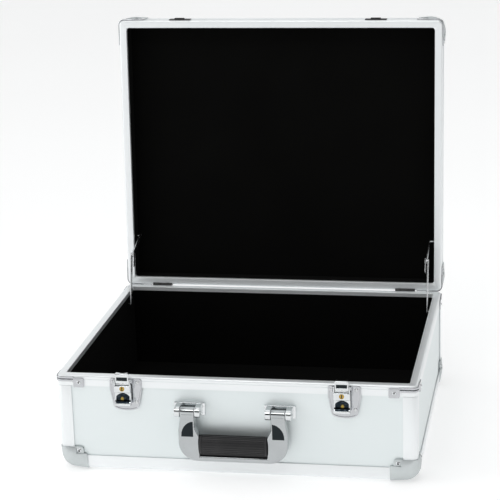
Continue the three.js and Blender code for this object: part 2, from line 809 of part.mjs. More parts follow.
// The upper link turns on the lid; it lies inside the lower one and is open at the elbow pin.
function stayUpper(sx) {
  const { lidPivot, elbow } = stayPoints();
  const wall = halfX - inner;
  const t = stay.thick / 2;
  const middle = wall - stay.inset - stay.thick - fit;
  const link = linkPlate(elbow, lidPivot, ...span(sx * (middle - t), sx * (middle + t)));
  const boss = rodX(...span(sx * (middle - t), sx * (wall - fit)), ...lidPivot, stay.pin);
  const through = span(sx * (middle - 2 * over), sx * (middle + 2 * over));
  const hole = rodX(...through, ...elbow, stay.pin + 2 * fit);
  return cut(join(link, boss), hole);
}

// ---- Assembly ------------------------------------------------------------------------------

const part = new THREE.Group();

const base = new THREE.Group();
base.position.z = frameZ;
part.add(base);
buildShell(base, "base", baseHeight, 1, true);

// The lid turns about the hinge pin; its shell is the base's, turned over.
const lid = new THREE.Group();
lid.position.set(0, halfY, hingeZ);
lid.rotation.x = rad(-openAngle);
part.add(lid);
const lidShell = new THREE.Group();
lidShell.position.set(0, -halfY, seam / 2 + lidHeight);
lidShell.rotation.x = Math.PI;
lid.add(lidShell);
buildShell(lidShell, "lid", lidHeight, -1, false);

// Fixed hinge line, for the leaves on the base and for the stays
const hingeLine = new THREE.Group();
hingeLine.position.copy(lid.position);
part.add(hingeLine);

const sides = [
  { name: "left", sx: -1 },
  { name: "right", sx: 1 },
];
for (const { name, sx } of sides) {
  addNode(part, `handle_mount_${name}`, handleMount(sx), brightChrome);
  addNode(part, `handle_pin_${name}`, handlePin(sx), wireSteel);
  const x = sx * latchCentre;
  addNode(part, `latch_plate_${name}`, latchPlateSolid(x), brightChrome);
  addNode(part, `latch_lever_${name}`, leverSolid(x), brightChrome);
  addNode(part, `latch_hook_${name}`, hookSolid(x), brightChrome);
  addNode(part, `lock_cylinder_${name}`, lockCylinder(x), brass);
  addNode(lid, `latch_keeper_${name}`, keeperSolid(x), brightChrome);
  addNode(hingeLine, `hinge_base_leaf_${name}`, hingeLeaf(sx * hingeCentre, false), castChrome);
  addNode(lid, `hinge_lid_leaf_${name}`, hingeLeaf(sx * hingeCentre, true), castChrome);
  addNode(hingeLine, `stay_lower_${name}`, stayLower(sx), wireSteel);
  addNode(hingeLine, `stay_upper_${name}`, stayUpper(sx), wireSteel);
}
addNode(part, "handle_bail", handleBail(), brightChrome);
addNode(part, "handle_grip", handleGrip(), blackRubber);

export default part;
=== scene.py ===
# %% [markdown]
# # An aluminium-framed hard case
# The case is a deep lower shell and a shallow lid, both made of board panels held in aluminium
# profiles. Cast ball corners and pressed rim corners hold the profiles together. This notebook
# dresses the solid model in real surfaces: it keeps the solids that are already right, such as
# the flat panels, and models finer pieces for everything with a round edge or a small detail.

import json
import math

import bpy
from mathutils import Matrix, Vector


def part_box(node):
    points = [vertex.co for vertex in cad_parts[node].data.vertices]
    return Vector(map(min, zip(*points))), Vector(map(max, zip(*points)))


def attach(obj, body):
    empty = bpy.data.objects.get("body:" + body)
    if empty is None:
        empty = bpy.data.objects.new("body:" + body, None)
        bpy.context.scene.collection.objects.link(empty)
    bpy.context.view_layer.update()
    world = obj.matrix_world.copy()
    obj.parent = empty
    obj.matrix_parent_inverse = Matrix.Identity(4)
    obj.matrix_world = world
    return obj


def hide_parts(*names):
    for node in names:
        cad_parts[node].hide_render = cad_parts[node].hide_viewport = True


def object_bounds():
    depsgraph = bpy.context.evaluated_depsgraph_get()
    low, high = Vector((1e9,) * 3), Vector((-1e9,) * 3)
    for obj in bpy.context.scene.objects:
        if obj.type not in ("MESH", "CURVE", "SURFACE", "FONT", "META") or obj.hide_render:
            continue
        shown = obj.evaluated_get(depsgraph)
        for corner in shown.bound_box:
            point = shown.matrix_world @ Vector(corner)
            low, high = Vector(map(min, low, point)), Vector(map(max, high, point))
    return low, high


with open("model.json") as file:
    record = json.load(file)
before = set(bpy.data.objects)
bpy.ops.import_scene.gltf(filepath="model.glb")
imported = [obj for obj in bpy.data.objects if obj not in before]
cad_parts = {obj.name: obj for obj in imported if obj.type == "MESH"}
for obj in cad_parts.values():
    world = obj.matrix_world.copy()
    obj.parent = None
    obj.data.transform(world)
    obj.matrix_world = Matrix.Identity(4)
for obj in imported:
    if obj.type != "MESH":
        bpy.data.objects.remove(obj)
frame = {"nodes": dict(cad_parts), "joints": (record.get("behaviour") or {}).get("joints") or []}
cad_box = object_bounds()
MM = 0.001
TINY = 2e-6
print("solid pieces:", len(frame["nodes"]), "box:", [round(v, 4) for corner in cad_box for v in corner])

# %% [markdown]
# ## Sizes that everything hangs on
# Nothing is measured twice. The outer size, the rim and the hinge line are read from the solid
# model, and so are the joints. Every shell is described by two distances: `u`, inwards from the
# outer face, and `v`, from the shell's own outer plane towards the rim.

# %% Sizes from the frame
low_edge, high_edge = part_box("base_edge_frame")
half_x = high_edge.x
half_y = high_edge.y
base_plane = low_edge.z
base_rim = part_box("base_rim_frame")[1].z
joints = {joint["name"]: joint for joint in frame["joints"]}
hinge_point = Vector(joints["lid_hinge"]["pos_m"])
lid_angle = math.radians(joints["lid_hinge"]["range_deg"][1])
SEAM = 2 * (hinge_point.z - base_rim)
LID_HEIGHT = 40 * MM
lid_plane = base_rim + SEAM + LID_HEIGHT
base_height = base_rim - base_plane
open_lid = (
    Matrix.Translation(hinge_point) @ Matrix.Rotation(-lid_angle, 4, "X") @ Matrix.Translation(-hinge_point)
)
print("outer half sizes", half_x, half_y, "rim at", base_rim, "lid opens", math.degrees(lid_angle))

# %% [markdown]
# ## The camera
# A long lens stands a little to the right of the case and above it, so that the verticals stay
# nearly upright and the floor of the lower shell is hidden. The camera is placed by its compass
# direction, its height angle and a slight roll, as it would be read off a tripod head.

# %% Camera
def add_camera():
    data = bpy.data.cameras.new("camera")
    data.sensor_width = 36
    data.lens = 131.3
    data.shift_x = -0.0064
    data.shift_y = 0.026
    data.clip_end = 50
    camera = bpy.data.objects.new("camera", data)
    bpy.context.scene.collection.objects.link(camera)
    turn = Matrix.Rotation(math.radians(10.47), 4, "Z")
    tilt = Matrix.Rotation(math.radians(90 - 16.73), 4, "X")
    roll = Matrix.Rotation(math.radians(-1.78), 4, "Z")
    camera.matrix_world = Matrix.Translation((0.4178, -2.2950, 0.9226)) @ turn @ tilt @ roll
    bpy.context.scene.camera = camera
    return camera


camera = add_camera()
print("camera at", tuple(round(v, 4) for v in camera.location))

# %% [markdown]
# ## The studio
# Bright metal shows the room, so the room matters as much as the metal. Everything around is
# white, except a dim stretch on the side the camera stands on: polished fittings need something
# dark to reflect, or they look like plaster. The dim stretch is part of the sky, is out of view
# and stays where it is when the camera moves. The floor is plain and pale.

# %% Studio
def soft_light(name, place, aim, size, power):
    data = bpy.data.lights.new(name, "AREA")
    data.shape = "RECTANGLE"
    data.size, data.size_y = size
    data.energy = power
    light = bpy.data.objects.new(name, data)
    bpy.context.scene.collection.objects.link(light)
    toward = Vector(aim) - Vector(place)
    light.matrix_world = Matrix.Translation(place) @ toward.to_track_quat("-Z", "Y").to_matrix().to_4x4()
    return light


soft_light("top_light", (0.2, 0.1, 2.6), (0, 0.1, 0.1), (2.4, 2.0), 8)
soft_light("front_light", (-0.3, -1.7, 2.3), (0, 0, 0.25), (1.6, 0.8), 12)
soft_light("left_light", (-2.4, -1.2, 1.2), (0, 0, 0.2), (1.6, 1.6), 13)
bpy.context.scene.view_settings.view_transform = "Standard"

# %% [markdown]
# ## Writing finishes as sums
# A finish is a small network of nodes. Written out link by link it is hard to read, so two
# helpers are made first. `Value` wraps a socket and lets Python's own `+ - * /` add the Math
# nodes. `Finish` holds one material, and its `node` method adds any other node.

# %% Node helpers
class Value:
    """A socket of a finish's nodes, which Python's operators work on."""

    def __init__(self, finish, socket):
        self.finish = finish
        self.socket = socket

    def maths(self, operation, first, second):
        return self.finish.node("ShaderNodeMath", {"operation": operation}, {0: first, 1: second})

    def __add__(self, other):
        return self.maths("ADD", self, other)

    __radd__ = __add__

    def __mul__(self, other):
        return self.maths("MULTIPLY", self, other)

    __rmul__ = __mul__

    def __sub__(self, other):
        return self.maths("SUBTRACT", self, other)

    def __rsub__(self, other):
        return self.maths("SUBTRACT", other, self)


class Finish:
    """One material, built node by node around a Principled shader."""

    def __init__(self, name, tree=None):
        self.material = None
        if tree is None:
            self.material = bpy.data.materials.new(name)
            self.material.use_nodes = True
            tree = self.material.node_tree
        self.tree = tree
        self.tree.nodes.clear()

    def node(self, kind, settings=None, inputs=None, output=0):
        made = self.tree.nodes.new(kind)
        for key, value in (settings or {}).items():
            if key == "stops":
                for stop, (place, level) in zip(made.color_ramp.elements, value):
                    stop.position = place
                    stop.color = (level, level, level, 1)
            else:
                setattr(made, key, value)
        for key, value in (inputs or {}).items():
            if isinstance(value, Value):
                self.tree.links.new(value.socket, made.inputs[key])
            else:
                made.inputs[key].default_value = value
        return Value(self, made.outputs[output]) if made.outputs else None

    def places(self, stretch=(1, 1, 1)):
        """Object coordinates, squeezed along each axis by stretch."""
        place = self.node("ShaderNodeTexCoord", output="Object")
        return self.node("ShaderNodeMapping", None, {"Vector": place, "Scale": stretch})

    def noise(self, scale, detail=3, stretch=(1, 1, 1), roughness=0.5):
        inputs = {"Vector": self.places(stretch), "Scale": scale, "Detail": detail, "Roughness": roughness}
        return self.node("ShaderNodeTexNoise", None, inputs)

    def ramp(self, value, low, high):
        inputs = {"Value": value, "From Min": low, "From Max": high}
        return self.node("ShaderNodeMapRange", None, inputs)

    def tint(self, share, first, second):
        """A colour between two, by a share from 0 to 1."""
        settings = {"data_type": "RGBA"}
        inputs = {"Factor": share, 6: (*first, 1), 7: (*second, 1)}
        return self.node("ShaderNodeMix", settings, inputs, output=2)

    def bump(self, height, distance, strength=1.0):
        inputs = {"Height": height, "Distance": distance, "Strength": strength}
        return self.node("ShaderNodeBump", None, inputs)

    def surface(self, inputs):
        shader = self.node("ShaderNodeBsdfPrincipled", None, inputs)
        self.node("ShaderNodeOutputMaterial", None, {"Surface": shader})
        return self.material


# %% [markdown]
# ## Metal finishes
# All the bright metal here is one of four things: the laminate on the panels, which is satin and
# faintly streaked, the anodised profiles with die lines along their length, the cast corners with
# a soft plated skin, and the polished fittings. Their colours are nearly the same, except that the
# bail and the pressed pieces get darker copies of the polished plating as painted shade. What tells
# them apart is roughness and the direction of the fine marks.

# %% Metal finishes
def laminate():
    finish = Finish("laminate")
    grain = finish.noise(900, 2, (0.04, 0.04, 1))
    cloud = finish.noise(9, 2)
    speck = finish.noise(4200, 1)
    return finish.surface({
        "Base Color": finish.tint(cloud, (0.79, 0.85, 0.855), (0.83, 0.875, 0.88)),
        "Metallic": 0.6,
        "Roughness": 0.36 + 0.10 * grain + 0.06 * cloud,
        "Normal": finish.bump(grain + 0.5 * speck, 0.00002, 0.35),
    })


def anodised(name, stretch):
    finish = Finish(name)
    lines = finish.noise(1500, 2, stretch)
    cloud = finish.noise(14, 2)
    return finish.surface({
        "Base Color": finish.tint(cloud, (0.86, 0.89, 0.90), (0.92, 0.94, 0.95)),
        "Metallic": 0.55,
        "Roughness": 0.26 + 0.10 * lines + 0.05 * cloud,
        "Normal": finish.bump(lines, 0.00003, 0.35),
    })


def plated(name, colour, roughness, ripple):
    """Plated metal: fine rub marks, and the slight waves that polishing leaves."""
    finish = Finish(name)
    waves = finish.noise(160, 2)
    marks = finish.noise(1800, 3, (1, 0.25, 0.6))
    rubbed = finish.ramp(finish.noise(55, 4), 0.35, 0.75)
    return finish.surface({
        "Base Color": finish.tint(rubbed, colour, tuple(0.93 * c for c in colour)),
        "Metallic": 1.0,
        "Roughness": roughness + 0.05 * rubbed + 0.03 * marks,
        "Normal": finish.bump(waves + 0.15 * marks, 0.00012 * ripple, 0.3),
    })


METALS = {
    "laminate": laminate(),
    "profile_x": anodised("profile_x", (0.02, 1, 1)),
    "profile_y": anodised("profile_y", (1, 0.02, 1)),
    "profile_z": anodised("profile_z", (1, 1, 0.02)),
    "casting": plated("casting", (0.60, 0.635, 0.64), 0.40, 0.3),
    "chrome": plated("chrome", (0.72, 0.74, 0.75), 0.07, 0.6),
    # Painted shade: the bail and the pressed pieces are the polished plating made darker, for the darker
    # surroundings they reflect.
    "bail": plated("bail", (0.47, 0.49, 0.50), 0.12, 1.2),
    "pressed": plated("pressed", (0.54, 0.55, 0.57), 0.13, 1.6),
    "blackened": plated("blackened", (0.06, 0.06, 0.06), 0.3, 0.5),
    "steel": plated("steel", (0.66, 0.67, 0.68), 0.22, 0.5),
    "brass": plated("brass", (0.50, 0.33, 0.07), 0.22, 0.5),
    # A dark polished finish for painted shade and painted dark reflections on the fittings.
    "painted_dark": plated("painted_dark", (0.022, 0.027, 0.030), 0.12, 0.6),
}


def painted_scoop_reflection():
    """Dark polished hollow with its reflection painted on: a painted dark reflection with lighter streaks,
    and a small warm painted reflection of the brass lock above it.
    """
    finish = Finish("painted_scoop_reflection")
    place = finish.places()
    x = finish.node("ShaderNodeSeparateXYZ", None, {0: place}, output=0)
    z = finish.node("ShaderNodeSeparateXYZ", None, {0: place}, output=2)
    both = finish.node("ShaderNodeMath", {"operation": "ABSOLUTE"}, {0: x + 0.0025})
    across_x = (both - 0.1402) * 1.0
    up_z = (z - (base_rim - 0.0268)) * 0.75
    spread = finish.node("ShaderNodeMath", {"operation": "SQRT"}, {0: across_x * across_x + up_z * up_z})
    # Painted reflection: a small warm spot where the brass lock above would show in the polished hollow.
    painted_lock_glint = 1 - finish.ramp(spread + 0.001 * finish.noise(900, 2), 0.0016, 0.0030)
    streak = finish.ramp(finish.noise(260, 3, (1, 1, 3)), 0.52, 0.68)
    # Painted dark reflection: the dark that the polished hollow mirrors, lightened along the streaks.
    dark = finish.tint(streak * 0.6, (0.012, 0.018, 0.024), (0.10, 0.12, 0.14))
    inputs = {"data_type": "RGBA"}, {"Factor": painted_lock_glint, 6: dark, 7: (0.42, 0.30, 0.07, 1)}
    return finish.surface({
        "Base Color": finish.node("ShaderNodeMix", *inputs, output=2),
        "Metallic": 1.0,
        "Roughness": 0.10 + 0.05 * streak,
    })


METALS["scoop"] = painted_scoop_reflection()
print("metal finishes:", ", ".join(METALS))

# %% [markdown]
# ## Black finishes
# The lining is a thin black cloth glued to board. Real black cloth still returns a few per cent
# of the light, more at a grazing angle, so it gets a weave, a soft sheen and slightly uneven dye.
# The grip is moulded rubber with a fine spark-eroded skin.

# %% Black finishes
def lining_cloth():
    finish = Finish("lining_cloth")
    threads = []
    for way in ("X", "Z", "Y"):
        inputs = {"Vector": finish.places(), "Scale": 260}
        threads.append(finish.node("ShaderNodeTexWave", {"bands_direction": way}, inputs))
    weave = 0.3 * threads[0] + 0.3 * threads[1] + 0.3 * threads[2]
    dye = finish.noise(12, 4)
    fluff = finish.noise(2200, 2)
    return finish.surface({
        "Base Color": finish.tint(dye, (0.0012, 0.0012, 0.0011), (0.0028, 0.0028, 0.0025)),
        "Roughness": 0.86 + 0.12 * fluff,
        "Specular IOR Level": 0.06,
        "Sheen Weight": 0.01,
        "Sheen Roughness": 0.5,
        "Normal": finish.bump(weave + fluff, 0.00008, 0.5),
    })


def rubber():
    finish = Finish("rubber")
    skin = finish.noise(3000, 2)
    wear = finish.ramp(finish.noise(40, 4), 0.4, 0.8)
    return finish.surface({
        "Base Color": finish.tint(wear, (0.009, 0.009, 0.010), (0.022, 0.021, 0.023)),
        "Roughness": 0.46 + 0.15 * skin,
        "Specular IOR Level": 0.5,
        "Normal": finish.bump(skin, 0.00006, 0.5),
    })


def floor_finish():
    finish = Finish("pale_floor")
    shade = finish.noise(1.5, 2)
    return finish.surface({
        "Base Color": finish.tint(shade, (0.70, 0.70, 0.70), (0.74, 0.74, 0.74)),
        "Roughness": 0.7,
        "Specular IOR Level": 0.1,
        "Emission Color": (1, 1, 1, 1),
        "Emission Strength": 0.46,
    })


CLOTH = lining_cloth()
RUBBER = rubber()
print("black finishes:", CLOTH.name, RUBBER.name)

# %% [markdown]
# ## Sky and floor
# The sky is one strength worked out from the direction of a ray. It is a little brighter on the
# left, as from a window, lower overhead, and nearly dark in a stretch behind the camera and in two
# flags at its sides. A ray straight from the camera skips the dark parts, so the backdrop stays
# white. The floor is matt and glows faintly, which keeps it pale under the soft light.

# %% Sky
def add_sky():
    """White all round, with a dim stretch low on the camera's side that only reflections see."""
    world = bpy.data.worlds.new("studio")
    bpy.context.scene.world = world
    world.use_nodes = True
    sky = Finish("studio", world.node_tree)
    direction = sky.node("ShaderNodeTexCoord", output="Generated")
    x = sky.node("ShaderNodeSeparateXYZ", None, {0: direction}, output=0)
    y = sky.node("ShaderNodeSeparateXYZ", None, {0: direction}, output=1)
    z = sky.node("ShaderNodeSeparateXYZ", None, {0: direction}, output=2)
    ahead = sky.ramp(-1 * y, 0.25, 0.5) * sky.ramp(z, 0.2, 0.3) * sky.ramp(-1 * z, -0.8, -0.66)
    flags = sky.ramp(y, 0.3, 0.4) * sky.ramp(-1 * y, -0.8, -0.7) * sky.ramp(-1 * z, -0.75, -0.6)
    seen = sky.node("ShaderNodeLightPath", output="Is Camera Ray")
    dim = (ahead + 0.8 * flags) * (1 - seen)
    side = sky.ramp(x, -1, 1)
    strength = (1.18 - 0.58 * side) * (1 - 0.97 * dim) * (1 - 0.45 * sky.ramp(z, 0.75, 0.95))
    back = sky.node("ShaderNodeBackground", None, {"Color": (0.985, 0.995, 1.0, 1), "Strength": strength})
    sky.node("ShaderNodeOutputWorld", None, {"Surface": back})
    return world


def add_floor():
    bpy.ops.mesh.primitive_plane_add(size=24, location=(0, 0, cad_box[0][2] - 0.0002))
    floor = bpy.context.object
    floor.name = "floor"
    floor.data.materials.append(floor_finish())
    return floor


add_sky()
add_floor()
print("sky and floor are in place")

# %% [markdown]
# ## Workshop helpers
# Every new piece is made as it would be by hand: start from a primitive or draw an outline, push
# and pull it in edit mode, and finish with modifiers. The helpers below are those few moves with
# short names. Each one deselects everything first, because an operator acts on all that is
# selected.

# %% Selecting and settling
def deselect():
    if bpy.context.object and bpy.context.object.mode != "OBJECT":
        bpy.ops.object.mode_set(mode="OBJECT")
    bpy.ops.object.select_all(action="DESELECT")


def take(piece):
    """Makes a piece the only selected and active one."""
    deselect()
    piece.select_set(True)
    bpy.context.view_layer.objects.active = piece


def settle(piece):
    """Puts the piece's place, turn and scale into its mesh."""
    take(piece)
    bpy.ops.object.transform_apply(location=True, rotation=True, scale=True)
    return piece


def edit(piece, kind="VERT", test=None):
    """Enters edit mode with what passes the test selected, or with everything."""
    take(piece)
    mesh = piece.data
    groups = {"VERT": mesh.vertices, "EDGE": mesh.edges, "FACE": mesh.polygons}
    bpy.ops.object.mode_set(mode="EDIT")
    bpy.ops.mesh.select_mode(type=kind)
    if test is None:
        bpy.ops.mesh.select_all(action="SELECT")
        return
    bpy.ops.mesh.select_all(action="DESELECT")
    bpy.ops.object.mode_set(mode="OBJECT")
    for item in groups[kind]:
        item.select = test(item)
    bpy.ops.object.mode_set(mode="EDIT")


def done():
    bpy.ops.object.mode_set(mode="OBJECT")


# %% [markdown]
# ### Starting a piece
# Pieces start in one of three ways: a block between two corners, a round bar between two points,
# or an outline that is drawn point after point and then pulled to its depth. The outline suits
# sheet and extruded metal best, because it is the section that the maker would draw.

# %% Primitives and outlines
def block(name, low, high):
    deselect()
    low, high = Vector(low), Vector(high)
    size = [abs(v) for v in high - low]
    bpy.ops.mesh.primitive_cube_add(size=1, location=(low + high) / 2, scale=size)
    bpy.context.object.name = name
    return settle(bpy.context.object)


def rod(name, start, end, radius, sides=32):
    """A round bar between two points, along any axis."""
    deselect()
    start, end = Vector(start), Vector(end)
    turn = (end - start).to_track_quat("Z", "Y").to_euler()
    length = (end - start).length
    bpy.ops.mesh.primitive_cylinder_add(
        vertices=sides, radius=radius, depth=length, location=(start + end) / 2, rotation=turn
    )
    bpy.context.object.name = name
    return settle(bpy.context.object)


def draw(name, points):
    """Draws a flat outline one point after the other and fills it."""
    deselect()
    bpy.ops.mesh.primitive_plane_add(size=MM, location=points[0])
    bpy.context.object.name = name
    bpy.ops.object.mode_set(mode="EDIT")
    bpy.ops.mesh.select_mode(type="VERT")
    bpy.ops.mesh.select_all(action="SELECT")
    bpy.ops.mesh.merge(type="CENTER")
    for here, there in zip(points, points[1:]):
        step = Vector(there) - Vector(here)
        bpy.ops.mesh.extrude_vertices_move(TRANSFORM_OT_translate={"value": step})
    bpy.ops.mesh.select_all(action="SELECT")
    bpy.ops.mesh.edge_face_add()
    done()
    return settle(bpy.context.object)


def pull(piece, step):
    """Pulls a flat outline into a solid."""
    edit(piece)
    bpy.ops.mesh.extrude_region_move(TRANSFORM_OT_translate={"value": Vector(step)})
    bpy.ops.mesh.select_all(action="SELECT")
    bpy.ops.mesh.normals_make_consistent(inside=False)
    done()
    return piece


def arc(centre, radius, start, stop, steps=8):
    """Points of an arc in a plane, in degrees, both ends included."""
    turns = [math.radians(start + (stop - start) * i / steps) for i in range(steps + 1)]
    return [(centre[0] + radius * math.cos(t), centre[1] + radius * math.sin(t)) for t in turns]


# %% [markdown]
# ### Finishing a piece
# No real edge is sharp, so every piece gets a narrow bevel before its faces are shaded smooth.
# Holes are boolean cuts, and what is fixed together for good becomes one object. A repeated piece
# is copied with a mesh of its own, because its place is stored in the mesh.

# %% Cutting, joining and softening
def use(piece, kind, **settings):
    """Adds a modifier, sets it and applies it."""
    take(piece)
    modifier = piece.modifiers.new(kind.lower(), kind)
    for key, value in settings.items():
        setattr(modifier, key, value)
    bpy.ops.object.modifier_apply(modifier=modifier.name)
    return piece


def carve(piece, tool, how="DIFFERENCE"):
    use(piece, "BOOLEAN", object=tool, operation=how, solver="EXACT")
    bpy.data.objects.remove(tool)
    return piece


def weld(first, *others):
    """Joins pieces into one object, each part still closed."""
    take(first)
    for other in others:
        other.select_set(True)
    bpy.ops.object.join()
    return first


def cut_off(piece, point, direction):
    """Saws the piece along a plane and throws away the side that direction points to."""
    edit(piece)
    bpy.ops.mesh.bisect(plane_co=point, plane_no=direction, use_fill=True, clear_outer=True, threshold=TINY)
    done()
    return piece


def soften(piece, width, segments=2, angle=32):
    """Rounds every edge sharper than an angle, and shades what is left smooth."""
    if width:
        limit = math.radians(angle)
        use(piece, "BEVEL", width=width, segments=segments, limit_method="ANGLE", angle_limit=limit)
    take(piece)
    bpy.ops.object.shade_smooth_by_angle(angle=math.radians(38))
    return piece


def twin(piece, name, change):
    """A copy with its own mesh, moved or mirrored by a matrix."""
    copy = bpy.data.objects.new(name, piece.data.copy())
    bpy.context.scene.collection.objects.link(copy)
    copy.matrix_world = change @ piece.matrix_world
    settle(copy)
    if change.determinant() < 0:
        edit(copy)
        bpy.ops.mesh.normals_make_consistent(inside=False)
        done()
    return copy


def hand_over(piece, body, material, replaces=()):
    """Gives a finished piece its finish, its body and the solids that it stands for."""
    piece.data.materials.clear()
    piece.data.materials.append(material)
    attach(piece, body)
    if replaces:
        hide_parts(*replaces)
    return piece


print("helpers are ready")

# %% [markdown]
# ## Panels and linings
# The panels are flat boards, and the solid model already has them at their real size. They only
# need a finish. The same goes for the cloth-covered lining trays.

# %% Panels and linings
def paint(node, material):
    mesh = frame["nodes"][node].data
    mesh.materials.clear()
    mesh.materials.append(material)


for node in frame["nodes"]:
    if node.endswith("_panel"):
        paint(node, METALS["laminate"])
    if node.endswith("_lining"):
        paint(node, CLOTH)
print("panels:", sum(node.endswith("_panel") for node in frame["nodes"]))

# %% [markdown]
# ## Two shells, one description
# The lid is the lower shell turned over, less deep. Pieces of the lid are modelled as if the case
# were shut, and then swung open about the hinge with everything else on the lid. A `Shell` knows
# where its outer plane is, which way the rim lies, and which body its pieces ride on.

# %% Shells
class Shell:
    def __init__(self, name, plane, height, way):
        self.name = name
        self.plane = plane
        self.height = height
        self.way = way

    def z(self, v):
        return self.plane + self.way * v

    def down(self, depth):
        """Height of what lies depth below the rim."""
        return self.z(self.height - depth)

    def hang(self, piece):
        """Swings a lid piece open; a base piece stays."""
        if self.way < 0:
            piece.matrix_world = open_lid @ piece.matrix_world
            settle(piece)
        return piece


BASE = Shell("base", base_plane, base_height, 1)
LID = Shell("lid", lid_plane, LID_HEIGHT, -1)
SHELLS = (BASE, LID)
print("lid plane when shut", round(lid_plane, 4))

# %% [markdown]
# ## Edge profiles
# An angle of aluminium wraps every outer edge. Its section is an L with a large outside radius.
# A sweep round a frame would do, but the real thing is four straight lengths whose ends hide
# under the ball corners, so each is an outline pulled into a bar. The uprights are the same.

# %% Edge profiles
LEG = 18.5 * MM
WALL = 1.5 * MM
EDGE_R = 7 * MM
HIDDEN = 27 * MM
UPRIGHT_FROM = 24.2 * MM
RIM_LIP = 14 * MM


def angle_section():
    """The L outline as distances inwards from the two outer faces."""
    outer = arc((EDGE_R, EDGE_R), EDGE_R, 180, 270)
    inner = arc((EDGE_R, EDGE_R), EDGE_R - WALL, 270, 180)
    return [(0, LEG), *outer, (LEG, 0), (LEG, WALL), *inner, (WALL, LEG)]


def edge_length(shell, side):
    """One length of edge profile; side is front, back, left or right."""
    along_x = side in ("front", "back")
    sign = 1 if side in ("back", "right") else -1
    start = -(half_x if along_x else half_y) + HIDDEN
    outline = []
    for u, v in angle_section():
        out = sign * ((half_y if along_x else half_x) - u)
        outline.append((start, out, shell.z(v)) if along_x else (out, start, shell.z(v)))
    piece = draw(f"{shell.name}_edge_{side}", outline)
    step = (-2 * start, 0, 0) if along_x else (0, -2 * start, 0)
    soften(pull(piece, step), 0.25 * MM)
    shell.hang(piece)
    lid_up = shell.way < 0 and not along_x
    finish = METALS["profile_x"] if along_x else METALS["profile_z" if lid_up else "profile_y"]
    return hand_over(piece, shell.name, finish, [f"{shell.name}_edge_frame"])


SIDES = ("front", "back", "left", "right")
for shell in SHELLS:
    for side in SIDES:
        edge_length(shell, side)
print("edge profiles:", 2 * len(SIDES))

# %% [markdown]
# ### Uprights
# The uprights use the same angle, stood on end. Each starts under its ball corner, high enough to
# stay inside the casting, and stops just below the lip of the rim.

# %% Upright corner profiles
CORNERS = {"front_left": (-1, -1), "front_right": (1, -1), "back_left": (-1, 1), "back_right": (1, 1)}


def upright_profile(name, sx, sy):
    start = base_plane + UPRIGHT_FROM
    outline = [(sx * (half_x - u), sy * (half_y - v), start) for u, v in angle_section()]
    piece = draw(f"upright_{name}", outline)
    top = base_rim - RIM_LIP - 0.3 * MM
    soften(pull(piece, (0, 0, top - start)), 0.25 * MM)
    return hand_over(piece, "base", METALS["profile_z"], [f"base_corner_post_{name}"])


for name, (sx, sy) in CORNERS.items():
    upright_profile(name, sx, sy)
print("uprights:", len(CORNERS))

# %% [markdown]
# ## Rim profiles
# The rim is a wider extrusion: a flat bar that caps the panels and a thin lip that reaches down
# their outside, with a shadow groove. Its corners are round outside and have a smaller fillet
# inside, so a plain sweep would fold over itself. Instead each line of the section becomes a
# rounded rectangle, made by bevelling the corners of a plane, and neighbours are bridged. That
# is done for the lid; the base's ring is the same one turned over. Each ring is then sawn on the
# diagonals into the four mitred lengths of the real rim.

# %% Rim profiles
BAR = 6 * MM
RIM_INNER = 10.6 * MM
RIM_FILLET = 4 * MM
ROUND = 2.5 * MM
GROOVE = 0.6 * MM
MITRE_GAP = 0.06 * MM


def rim_section():
    """Each point is (u, depth below the rim)."""
    top = [(ROUND - ROUND * math.cos(t), ROUND - ROUND * math.sin(t)) for t in
           (math.radians(a) for a in range(0, 91, 15))]
    steps = [(0, RIM_LIP), (0, 5.5 * MM), (GROOVE, 5.3 * MM), (GROOVE, 4.9 * MM), (0, 4.7 * MM)]
    inside = [(RIM_INNER - 0.5 * MM, 0), (RIM_INNER, 0.5 * MM), (RIM_INNER, BAR), (WALL, BAR),
              (WALL, RIM_LIP)]
    return steps + top + inside


def corner_radius(u):
    return max(EDGE_R - u, RIM_FILLET)


def add_loop(shell, u, depth):
    """A rounded rectangle of edges, inset by u and lying depth below the rim."""
    bpy.ops.mesh.select_all(action="DESELECT")
    bpy.ops.mesh.primitive_plane_add(size=2, location=(0, 0, shell.down(depth)))
    centre = (0, 0, shell.down(depth))
    bpy.ops.transform.resize(value=(half_x - u, half_y - u, 1), center_override=centre)
    bpy.ops.mesh.bevel(offset=corner_radius(u), segments=8, affect="VERTICES", clamp_overlap=False)
    bpy.ops.mesh.delete(type="ONLY_FACE")


def on_loop(shell, co, u, depth):
    r = corner_radius(u)
    across = max(abs(co.x) - (half_x - u - r), 0)
    along = max(abs(co.y) - (half_y - u - r), 0)
    return abs(co.z - shell.down(depth)) < TINY and abs(math.hypot(across, along) - r) < TINY


def rim_ring(shell):
    section = rim_section()
    deselect()
    bpy.ops.mesh.primitive_plane_add(size=MM)
    ring = bpy.context.object
    ring.name = f"{shell.name}_rim"
    edit(ring)
    bpy.ops.mesh.delete(type="VERT")
    for u, depth in section:
        add_loop(shell, u, depth)
    done()
    for i, here in enumerate(section):
        there = section[(i + 1) % len(section)]
        edit(ring, "VERT", lambda v: on_loop(shell, v.co, *here) or on_loop(shell, v.co, *there))
        bpy.ops.mesh.select_mode(type="EDGE")
        bpy.ops.mesh.bridge_edge_loops()
    bpy.ops.mesh.select_all(action="SELECT")
    bpy.ops.mesh.normals_make_consistent(inside=False)
    done()
    return ring


def hinge_notch(piece, shell):
    """Cuts room for the hinge knuckles into the back length."""
    for side in ("left", "right"):
        low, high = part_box(f"hinge_base_leaf_{side}")
        room = 0.4 * MM
        depth = 3 * MM
        first = (low.x - room, half_y - depth, shell.down(depth))
        carve(piece, block("cutter", first, (high.x + room, half_y + MM, shell.down(-MM))))


